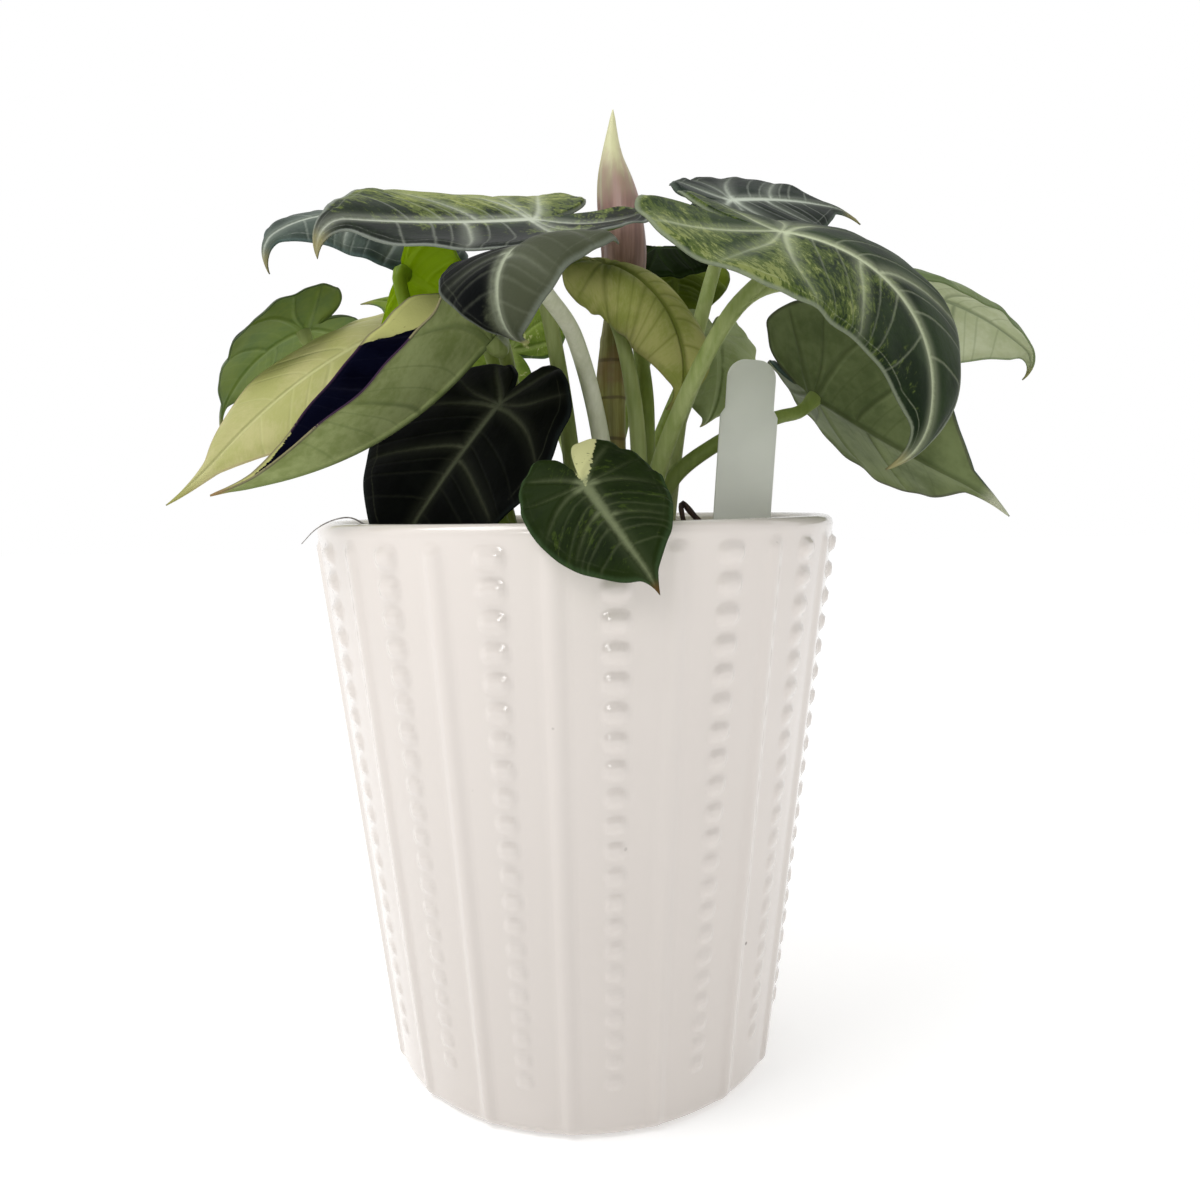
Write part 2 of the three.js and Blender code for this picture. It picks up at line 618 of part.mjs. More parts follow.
// Soil: fills the pot, its top gently uneven, with a plain hole for each stem and for the label
function makeSoil() {
  const top = soilHeight();
  const inner = (height) => wallRadius(height) - WALL - SOIL_GAP * 2;
  const profile = [[0, FLOOR + SOIL_GAP], [inner(FLOOR), FLOOR + SOIL_GAP]];
  for (const ring of SOIL_RINGS.slice().reverse()) profile.push([inner(top) * ring, top]);
  profile.push([0, top]);
  const bed = closedMesh(revolved(profile, SOIL_SIDES));
  const place = bed.getAttribute('position');
  for (let k = 0; k < place.count; k += 1) {
    if (place.getZ(k) < top - 1) continue;
    const bump = Math.sin(place.getX(k) * 0.23) * Math.cos(place.getY(k) * 0.19 + 1);
    place.setZ(k, top + SOIL_BUMP * bump);
  }
  const holes = Object.values(LEAVES).map(petioleHole);
  holes.push(toSolid(stalkGeometry(SOIL_GAP)), toSolid(labelGeometry(SOIL_GAP)));
  holes.push(toSolid(sheathGeometry(SOIL_GAP)));
  return named('soil', fromSolid(toSolid(bed).subtract(joined(holes))), FINISH.soil);
}

const plant = new THREE.Group();
plant.add(makePot(), makeSoil());
plant.add(named('flower_stalk', stalkGeometry(), FINISH.stalk));
plant.add(named('spathe', spatheGeometry(), FINISH.spathe));
plant.add(named('label', labelGeometry(), FINISH.label));
plant.add(named('dried_sheath', sheathGeometry(), FINISH.sheath));
for (const [name, sizes] of Object.entries(LEAVES)) {
  plant.add(named(`blade_${name}`, bladeGeometry(sizes), FINISH.blade));
  plant.add(named(`petiole_${name}`, petioleGeometry(sizes), FINISH.petiole));
}

export default plant;
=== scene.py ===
"""Potted ninja alocasia: the look of the plant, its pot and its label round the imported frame.

Sizes are in millimetres and named after the plant's own parts, and meshes are written in metres. The
front of the plant faces -Y, and the origin is the centre of the pot's foot.
"""
from __future__ import annotations

import logging
import math
from dataclasses import dataclass
from enum import Enum
from typing import Callable, Iterable, Sequence, Union

import bmesh
import bpy
import numpy as np
from mathutils import Matrix, Vector

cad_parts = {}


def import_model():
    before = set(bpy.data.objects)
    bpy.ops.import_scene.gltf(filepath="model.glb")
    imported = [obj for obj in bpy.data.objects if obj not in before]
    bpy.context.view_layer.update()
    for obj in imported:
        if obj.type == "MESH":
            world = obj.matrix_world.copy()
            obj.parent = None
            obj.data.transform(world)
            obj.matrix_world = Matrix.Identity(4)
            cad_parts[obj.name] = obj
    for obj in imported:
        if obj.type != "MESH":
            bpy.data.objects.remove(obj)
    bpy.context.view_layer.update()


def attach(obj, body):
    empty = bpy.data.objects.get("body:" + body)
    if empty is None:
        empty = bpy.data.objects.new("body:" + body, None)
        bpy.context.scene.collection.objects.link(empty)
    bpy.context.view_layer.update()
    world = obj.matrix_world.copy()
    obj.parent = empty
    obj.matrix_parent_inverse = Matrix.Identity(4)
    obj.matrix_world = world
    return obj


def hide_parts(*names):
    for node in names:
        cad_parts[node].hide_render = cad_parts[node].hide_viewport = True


LOG = logging.getLogger("alocasia")
MM = 0.001
BODY = "root"
SMALL = 0.001
FULL_TURN = 6.28
# Places of a Mix node's colour sockets
MIX_FIRST, MIX_SECOND, MIX_RESULT = 6, 7, 2

Piece = bpy.types.Object
Mesh = bpy.types.Mesh
Material = bpy.types.Material
Socket = bpy.types.NodeSocket
Array = np.ndarray
Faces = list[list[int]]
Pair = tuple[float, float]
Rgb = tuple[float, float, float]
Point = tuple[float, float, float]


class Slot(Enum):
    """The material slots that the pieces' finishes belong to."""

    GLAZE = "glaze"
    SOIL = "soil"
    BLADE = "blade"
    PETIOLE = "petiole"
    STALK = "stalk"
    SPATHE = "spathe"
    LABEL = "label"
    SHEATH = "sheath"


class Value:
    """A number in a node tree. Python's operators on it add Math nodes."""

    def __init__(self, tree: Tree, socket: Socket) -> None:
        """Wraps an output socket."""
        self.tree = tree
        self.socket = socket

    def __add__(self, other: Number) -> Value:
        """Their sum."""
        return self.tree.math("ADD", self, other)

    def __radd__(self, other: Number) -> Value:
        """Their sum."""
        return self.tree.math("ADD", other, self)

    def __sub__(self, other: Number) -> Value:
        """This less the other."""
        return self.tree.math("SUBTRACT", self, other)

    def __rsub__(self, other: Number) -> Value:
        """The other less this."""
        return self.tree.math("SUBTRACT", other, self)

    def __mul__(self, other: Number) -> Value:
        """Their product."""
        return self.tree.math("MULTIPLY", self, other)

    def __rmul__(self, other: Number) -> Value:
        """Their product."""
        return self.tree.math("MULTIPLY", other, self)

    def __truediv__(self, other: Number) -> Value:
        """This over the other."""
        return self.tree.math("DIVIDE", self, other)

    def __rtruediv__(self, other: Number) -> Value:
        """The other over this."""
        return self.tree.math("DIVIDE", other, self)

    def __pow__(self, other: Number) -> Value:
        """This to the power of the other."""
        return self.tree.math("POWER", self, other)


Number = Union[float, Array, Value]


class Tree:
    """A shader or geometry tree that is written as expressions."""

    def __init__(self, nodes: bpy.types.NodeTree) -> None:
        """Starts on an empty tree."""
        self.nodes = nodes
        nodes.nodes.clear()

    def node(self, kind: str, settings: dict | None = None, sockets: dict | None = None) -> bpy.types.Node:
        """Adds a node.

        Args:
            kind: the node's type.
            settings: what is set on the node before its sockets.
            sockets: a value or link for each input, by its name or place.

        Returns:
            The node.
        """
        made = self.nodes.nodes.new(kind)
        for name, setting in (settings or {}).items():
            setattr(made, name, setting)
        for name, given in (sockets or {}).items():
            self.feed(made.inputs[name], given)
        return made

    def feed(self, socket: Socket, given: object) -> None:
        """Links an input or sets its value.

        Args:
            socket: the input.
            given: a Value, an output socket or a plain value.
        """
        if isinstance(given, Value):
            given = given.socket
        if isinstance(given, Socket):
            self.nodes.links.new(given, socket)
        else:
            socket.default_value = given

    def math(self, operation: str, *terms: Number) -> Value:
        """Adds a Math node."""
        made = self.node("ShaderNodeMath", {"operation": operation}, dict(enumerate(terms)))
        return Value(self, made.outputs[0])

    def number(self, made: bpy.types.Node, name: str | int = 0) -> Value:
        """One output of a node as a number."""
        return Value(self, made.outputs[name])

    def blend(self, part: Number, first: object, second: object) -> Socket:
        """Mixes two colours.

        Args:
            part: how much of the second, from 0 to 1.
            first: the colour at 0, a display colour or a link.
            second: the colour at 1.

        Returns:
            The mixed colour.
        """
        settings = {"data_type": "RGBA", "clamp_factor": True}
        sockets = {0: part, MIX_FIRST: as_colour(first), MIX_SECOND: as_colour(second)}
        return self.node("ShaderNodeMix", settings, sockets).outputs[MIX_RESULT]

    def noise(self, place: object, scale: float, detail: float = 2.0, rough: float = 0.5,
              warp: float = 0.0) -> Value:
        """Adds a noise.

        Args:
            place: the coordinates.
            scale: cycles in a unit of the coordinates.
            detail: octaves.
            rough: how strong the fine octaves are.
            warp: how far it is distorted.

        Returns:
            The noise, about 0 to 1.
        """
        sockets = {"Vector": place, "Scale": scale, "Detail": detail, "Roughness": rough,
                   "Distortion": warp}
        return self.number(self.node("ShaderNodeTexNoise", None, sockets), 0)

    def point(self, x: Number, y: Number, z: Number = 0.0) -> Socket:
        """Three numbers as one vector."""
        return self.node("ShaderNodeCombineXYZ", None, {0: x, 1: y, 2: z}).outputs[0]

    def split(self, vector: object) -> list[Value]:
        """A vector's three numbers."""
        made = self.node("ShaderNodeSeparateXYZ", None, {0: vector})
        return [self.number(made, k) for k in range(3)]


class Shader(Tree):
    """The node tree of one material."""

    def __init__(self, name: str) -> None:
        """Makes a material.

        Args:
            name: the material's name.
        """
        self.material = bpy.data.materials.new(name)
        self.material.use_nodes = True
        super().__init__(self.material.node_tree)
        self.object_place = self.node("ShaderNodeTexCoord").outputs["Object"]

    def attribute(self, name: str) -> Value:
        """A number that the mesh holds."""
        made = self.node("ShaderNodeAttribute", {"attribute_name": name})
        return self.number(made, "Fac")

    def uv_place(self) -> Socket:
        """The mesh's own UV map."""
        return self.node("ShaderNodeTexCoord").outputs["UV"]

    def streaks(self, across: float, along: float, detail: float = 3.0) -> Value:
        """Adds a noise that is drawn out upwards."""
        x, y, z = self.split(self.object_place)
        return self.noise(self.point(x * across, y * across, z * along), 1.0, detail, 0.6)

    def bump(self, height: Number, depth: float, under: object = None) -> Socket:
        """Turns a height into a normal.

        Args:
            height: the height, 0 to 1.
            depth: what 1 stands for, in millimetres.
            under: the normal that this one lies on.

        Returns:
            The normal.
        """
        sockets = {"Height": height, "Strength": 1.0, "Distance": depth * MM}
        if under is not None:
            sockets["Normal"] = under
        return self.node("ShaderNodeBump", None, sockets).outputs[0]

    def finish(self, colour: object, rough: Number, normal: object = None, coat: Number = 0.0,
               glow: Rgb | None = None, through: Number = 0.0, shine: float = 0.5) -> Material:
        """Ends the material in one Principled shader, with some light let through if asked.

        Args:
            colour: the base colour, a display colour or a link.
            rough: roughness.
            normal: the normal, if it isn't the mesh's own.
            coat: weight of a clear coat.
            glow: display colour of the light that passes through.
            through: how much light passes through.
            shine: specular level, the same all over.

        Returns:
            The material.
        """
        sockets = {"Base Color": as_colour(colour), "Roughness": rough, "Coat Weight": coat,
                   "Specular IOR Level": shine, "Coat Roughness": 0.1}
        if normal is not None:
            sockets["Normal"] = normal
        surface = self.node("ShaderNodeBsdfPrincipled", None, sockets).outputs[0]
        if glow is not None:
            leaf = self.node("ShaderNodeBsdfTranslucent", None, {"Color": display(*glow)}).outputs[0]
            mixed = self.node("ShaderNodeMixShader", None, {0: through, 1: surface, 2: leaf})
            surface = mixed.outputs[0]
        self.node("ShaderNodeOutputMaterial", None, {"Surface": surface})
        return self.material


class Recipe(Tree):
    """A Geometry Nodes tree with named sizes. It ends in Realize Instances and Set Material."""

    def __init__(self, name: str) -> None:
        """Starts a tree with the piece's own geometry as its first input.

        Args:
            name: the tree's name.
        """
        super().__init__(bpy.data.node_groups.new(name, "GeometryNodeTree"))
        self.sizes: dict[str, float] = {}
        self._socket("Geometry", "INPUT", "NodeSocketGeometry")
        self._socket("Geometry", "OUTPUT", "NodeSocketGeometry")
        self.start = self.node("NodeGroupInput")

    def _socket(self, name: str, side: str, kind: str) -> bpy.types.NodeTreeInterfaceSocket:
        """Adds a socket to the tree's own interface."""
        return self.nodes.interface.new_socket(name, in_out=side, socket_type=kind)

    @property
    def own(self) -> Socket:
        """The piece's own geometry."""
        return self.start.outputs[0]

    def size(self, name: str, value: float) -> Value:
        """Adds a named input."""
        self.sizes[self._socket(name, "INPUT", "NodeSocketFloat").identifier] = value
        return self.number(self.start, name)

    def place(self) -> Socket:
        """Where each corner is, in metres."""
        return self.node("GeometryNodeInputPosition").outputs[0]

    def attribute(self, name: str) -> Value:
        """A number that the mesh holds."""
        named = self.node("GeometryNodeInputNamedAttribute", {"data_type": "FLOAT"}, {"Name": name})
        return self.number(named, 0)

    def scaled(self, vector: object, factor: Number) -> Socket:
        """A vector times a number."""
        sockets = {0: vector, "Scale": factor}
        return self.node("ShaderNodeVectorMath", {"operation": "SCALE"}, sockets).outputs[0]

    def random_vector(self, low: Point, high: Point, seed: int) -> Socket:
        """Another vector for each point, between two corners of a box."""
        sockets = {0: low, 1: high, "Seed": seed}
        return self.node("FunctionNodeRandomValue", {"data_type": "FLOAT_VECTOR"}, sockets).outputs[0]

    def moved(self, shape: object, offset: object) -> Socket:
        """The geometry with each corner moved by an offset in metres."""
        return self.node("GeometryNodeSetPosition", None, {0: shape, "Offset": offset}).outputs[0]

    def run(self, piece: Piece, shape: object, material: Material) -> None:
        """Ends the tree, runs it on a piece and leaves the piece a plain mesh.

        Args:
            piece: the mesh object.
            shape: the tree's last geometry.
            material: what the result is made of.
        """
        real = self.node("GeometryNodeRealizeInstances", None, {0: shape}).outputs[0]
        dressed = self.node("GeometryNodeSetMaterial", None, {"Geometry": real, "Material": material})
        self.node("NodeGroupOutput", None, {0: dressed.outputs[0]})
        modifier = piece.modifiers.new("Recipe", "NODES")
        modifier.node_group = self.nodes
        for identifier, value in self.sizes.items():
            modifier[identifier] = value
        settle(piece, modifier)


def display(red: float, green: float, blue: float) -> tuple[float, float, float, float]:
    """A display colour as the linear colour that a node takes.

    Args:
        red: from 0 to 255.
        green: from 0 to 255.
        blue: from 0 to 255.

    Returns:
        Red, green, blue and a full alpha.
    """
    parts = [channel / 255 for channel in (red, green, blue)]
    linear = [part / 12.92 if part <= 0.04045 else ((part + 0.055) / 1.055) ** 2.4 for part in parts]
    return (*linear, 1.0)


def as_colour(given: object) -> object:
    """A display colour as a linear one, and anything else as it is."""
    return display(*given) if isinstance(given, tuple) and len(given) == 3 else given


def reckon(operation: str, plain: Callable, *terms: Number) -> Number:
    """Works a rule out on plain numbers, or as a Math node where one of them is a Value.

    Args:
        operation: the Math node's operation.
        plain: the same rule in numpy.
        terms: what the rule is worked on.

    Returns:
        The result, a number, an array or a Value.
    """
    for term in terms:
        if isinstance(term, Value):
            return term.tree.math(operation, *terms)
    return plain(*terms)


def least(first: Number, second: Number) -> Number:
    """The smaller of two."""
    return reckon("MINIMUM", np.minimum, first, second)


def most(first: Number, second: Number) -> Number:
    """The larger of two."""
    return reckon("MAXIMUM", np.maximum, first, second)


def size(value: Number) -> Number:
    """How large it is, without its sign."""
    return reckon("ABSOLUTE", np.abs, value)


def root(value: Number) -> Number:
    """The square root."""
    return reckon("SQRT", np.sqrt, value)


def sign(value: Number) -> Number:
    """-1, 0 or 1."""
    return reckon("SIGN", np.sign, value)


def sine(value: Number) -> Number:
    """The sine of an angle in radians."""
    return reckon("SINE", np.sin, value)


def arc(rise: Number, run: Number) -> Number:
    """The angle of a slope in radians, all the way round."""
    return reckon("ARCTAN2", np.arctan2, rise, run)


def natural_log(value: Number) -> Number:
    """The natural logarithm."""
    return reckon("LOGARITHM", lambda given, base: np.log(given) / np.log(base), value, math.e)


def fraction(value: Number) -> Number:
    """What is past the last whole number."""
    return reckon("FRACT", lambda given: given - np.floor(given), value)


def even_step(value: Number, low: float, high: float) -> Number:
    """An S curve from 0 to 1.

    Args:
        value: where on the curve.
        low: 0 up to here.
        high: 1 from here.

    Returns:
        The height of the curve.
    """
    if isinstance(value, Value):
        sockets = {"Value": value, "From Min": low, "From Max": high}
        made = value.tree.node("ShaderNodeMapRange", {"interpolation_type": "SMOOTHSTEP"}, sockets)
        return value.tree.number(made, 0)
    part = np.clip((value - low) / (high - low), 0, 1)
    return part * part * (3 - 2 * part)


@dataclass(frozen=True)
class Vein:
    """A side vein of a heart-shaped blade, in parts of the blade's length and half width."""

    start: float
    lean: float
    bend: float
    width: float


MAIN_VEINS = (
    Vein(0.0, -0.42, 0.8, 1.6), Vein(0.02, 0.30, 2.4, 1.7), Vein(0.31, 0.42, 1.7, 1.0),
    Vein(0.0, -0.12, 1.6, 0.8),
)
FINE_VEINS = (
    Vein(0.14, 0.38, 2.0, 0.3), Vein(0.47, 0.36, 1.5, 0.4), Vein(0.62, 0.28, 1.4, 0.3),
    Vein(0.22, 0.44, 1.7, 0.2), Vein(0.39, 0.40, 1.6, 0.2),
)
MIDRIB_HALF_WIDTH = 1.15
MIDRIB_TAPER = 0.95
MIDRIB_LEAST = 0.2
VEIN_STAGGER = 0.035
STAGGERED_FROM = 0.1
VEIN_TAPER = 0.8
VEIN_WOBBLE = 0.35
WOBBLE_TURN = 0.27
WOBBLE_START = 1.7
HALF_OUTLINE = (
    (1.0, 0.0), (0.955, 0.045), (0.9, 0.13), (0.78, 0.38), (0.6, 0.68), (0.38, 0.9),
    (0.14, 1.0), (-0.1, 0.95), (-0.3, 0.74), (-0.42, 0.42), (-0.36, 0.14), (-0.14, 0.0),
)
DRIP_START = 0.9
UV_SPAN = 200.0
LEAST_REACH = 0.05

# How every blade bends
BEHIND_JOINT = 0.5
MIDRIB_STEPS = 121
TIP_START = 0.85
TIP_SPAN = 0.15
LOBE_SPAN = 0.31
SIDE_END = 1.2
SIDE_POWER = 1.5
LEAST_CURL = 1e-7
FLAT_CURL = 1e-6
RIPPLES = 3
RIPPLE_END = 1.2
NORMAL_STEP = 0.4
OUTLINE_STEPS = 400

# How a stem stands in the soil and meets its blade
STEM_DEPTH = 12.0
STEM_UPRIGHT = 6.0
PETIOLE_LEAD = 0.75
PETIOLE_GAP = 0.6
CURVE_STEPS = 24


def midrib_gap(along: Number, across: Number, length: float) -> Number:
    """How far a place on a flat blade is from the midrib's edge, below 0 on the midrib.

    Args:
        along: millimetres from the petiole towards the tip.
        across: millimetres from the midrib to the left.
        length: the blade's length from the petiole to the tip.

    Returns:
        Millimetres.
    """
    behind = least(along, 0.0)
    half = most(MIDRIB_HALF_WIDTH - MIDRIB_TAPER * along / length, MIDRIB_LEAST)
    return root(across * across + behind * behind) - half


def vein_gap(along: Number, across: Number, length: float, width: float,
             veins: Sequence[Vein] = MAIN_VEINS) -> Number:
    """How far a place on a flat blade is from the nearest side vein or the midrib.

    Args:
        along: millimetres from the petiole towards the tip.
        across: millimetres from the midrib to the left.
        length: the blade's length from the petiole to the tip.
        width: its width.
        veins: the side veins that count.

    Returns:
        Millimetres from the vein's edge, below 0 on the vein.
    """
    wobble = VEIN_WOBBLE * sine(across * WOBBLE_TURN + WOBBLE_START)
    part = (along + wobble) / length
    out = most(size(across) / (width / 2), SMALL)
    gap = midrib_gap(along, across, length)
    for vein in veins:
        start = vein.start + sign(across) * (VEIN_STAGGER if vein.start > STAGGERED_FROM else 0.0)
        slope = vein.lean * vein.bend / (width / 2) * out ** (vein.bend - 1)
        reach = root(slope * slope + 1 / length ** 2)
        away = size(part - start - vein.lean * out ** vein.bend) / reach
        gap = least(gap, away - vein.width / 2 * (1 - VEIN_TAPER * out))
    return gap


def spline(points: Array, parts: Array) -> Array:
    """Places on an even Catmull-Rom spline.

    Args:
        points: the points that it passes through.
        parts: how far along it, from 0 to 1.

    Returns:
        A row for each part.
    """
    last = len(points) - 1
    spot = last * parts
    here = np.minimum(np.floor(spot).astype(int), last - 1)
    rest = (spot - here)[:, None]
    before = points[np.maximum(here - 1, 0)]
    start, end = points[here], points[here + 1]
    after = points[np.minimum(here + 2, last)]
    leave, arrive = (end - before) / 2, (after - start) / 2
    cube = (2 * start - 2 * end + leave + arrive) * rest ** 3
    square = (-3 * start + 3 * end - 2 * leave - arrive) * rest ** 2
    return cube + square + leave * rest + start


def stem_curve(points: Array, count: int) -> Array:
    """Evenly spaced places on a centripetal Catmull-Rom curve.

    Args:
        points: the points that it passes through.
        count: how many places.

    Returns:
        A row for each place.
    """
    ends = np.vstack([2 * points[0] - points[1], points, 2 * points[-1] - points[-2]])
    places = []
    for k in range(len(points) - 1):
        first, start, end, last = ends[k:k + 4]
        near, own, far = (np.linalg.norm(b - a) ** 0.5
                          for a, b in ((first, start), (start, end), (end, last)))
        leave = ((start - first) / near - (end - first) / (near + own) + (end - start) / own) * own
        arrive = ((end - start) / own - (last - start) / (own + far) + (last - end) / far) * own
        for rest in np.linspace(0, 1, CURVE_STEPS, endpoint=False):
            cube = 2 * start - 2 * end + leave + arrive
            square = -3 * start + 3 * end - 2 * leave - arrive
            places.append(((cube * rest + square) * rest + leave) * rest + start)
    places.append(points[-1])
    line = np.array(places)
    far = np.concatenate([[0], np.cumsum(np.linalg.norm(np.diff(line, axis=0), axis=1))])
    even = np.linspace(0, far[-1], count)
    return np.stack([np.interp(even, far, line[:, axis]) for axis in range(3)], axis=1)


def add_object(name: str, data: bpy.types.ID) -> Piece:
    """A mesh, a lamp or a camera as an object in the scene.

    Args:
        name: the object's name.
        data: what it shows.

    Returns:
        The object.
    """
    made = bpy.data.objects.new(name, data)
    bpy.context.scene.collection.objects.link(made)
    return made


def new_piece(name: str, places: Array, faces: Iterable[Sequence[int]],
              materials: Sequence[Material] = (),
              edges: Iterable[tuple[int, int]] = ()) -> Piece:
    """Makes a smooth mesh object from millimetres.

    Args:
        name: the piece's name.
        places: a row for each corner, in millimetres.
        faces: the corners of each face.
        materials: its materials in order.
        edges: the two corners of each edge that has no face.

    Returns:
        The object, linked to the scene.
    """
    mesh = bpy.data.meshes.new(name)
    mesh.from_pydata((np.asarray(places) * MM).tolist(), list(edges), [list(face) for face in faces])
    for material in materials:
        mesh.materials.append(material)
    mesh.shade_smooth()
    return add_object(name, mesh)


def mark(mesh: Mesh, name: str, values: Array) -> None:
    """Writes a number for each corner of a mesh, for its materials or its recipe to read."""
    mesh.attributes.new(name, "FLOAT", "POINT").data.foreach_set("value", values)


def settle(piece: Piece, modifier: bpy.types.Modifier) -> None:
    """Makes what a piece's one modifier gives its plain mesh.

    Args:
        piece: the piece.
        modifier: its modifier, which is then removed.
    """
    graph = bpy.context.evaluated_depsgraph_get()
    made = bpy.data.meshes.new_from_object(piece.evaluated_get(graph))
    made.name = piece.name
    piece.modifiers.remove(modifier)
    piece.data = made


def keep(piece: Piece, slot: Slot, *nodes: str) -> None:
    """Fixes a finished piece to the plant.

    Args:
        piece: the finished piece.
        slot: the slot that its finish belongs to; it is not used.
        nodes: the CAD nodes that it stands for.
    """
    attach(piece, BODY)
    if nodes:
        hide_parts(*nodes)
    LOG.info("%s: %d faces", piece.name, len(piece.data.polygons))


def ring_faces(rings: int, count: int, first: int = 0) -> Faces:
    """The faces between rings of corners that follow one another.

    Args:
        rings: how many rings.
        count: corners in a ring.
        first: the first ring's first corner.

    Returns:
        Four corners for each face, ring by ring.
    """
    faces = []
    for ring in range(rings - 1):
        near = first + ring * count
        far = near + count
        for k in range(count):
            after = (k + 1) % count
            faces.append([near + k, near + after, far + after, far + k])
    return faces


def tube(line: Array, radii: Array, sides: int, flat: float = 1.0,
         seam: float = 0.0) -> tuple[Array, Faces]:
    """Sweeps a ring along a line, with closed ends.

    Args:
        line: the places of the ring's middle.
        radii: its radius at each place.
        sides: corners in a ring.
        flat: how deep it is for its width.
        seam: how much the ring's radius grows once round, which leaves a lapped edge.

    Returns:
        The corners and the faces.
    """
    ahead = np.gradient(line, axis=0)
    ahead /= np.linalg.norm(ahead, axis=1)[:, None]
    across = np.cross(ahead[0], [0.0, 1.0, 0.0])
    turns = 2 * np.pi * np.arange(sides) / sides
    lap = 1 + seam * (turns / (2 * np.pi) - 0.5)
    places = []
    for middle, way, radius in zip(line, ahead, radii):
        across = across - way * across.dot(way)
        across /= np.linalg.norm(across)
        other = np.cross(way, across)
        ring = np.outer(np.cos(turns) * lap, across) + np.outer(np.sin(turns) * lap * flat, other)
        places.append(middle + ring * radius)
    faces = ring_faces(len(line), sides)
    faces.append(list(range(sides))[::-1])
    faces.append([(len(line) - 1) * sides + k for k in range(sides)])
    return np.vstack(places), faces


def heading_vector(climb: Array, sweep: Array) -> Array:
    """Unit vectors that climb from the level and sweep to the left."""
    return np.stack([np.cos(climb) * np.cos(sweep), np.cos(climb) * np.sin(sweep), np.sin(climb)], axis=1)


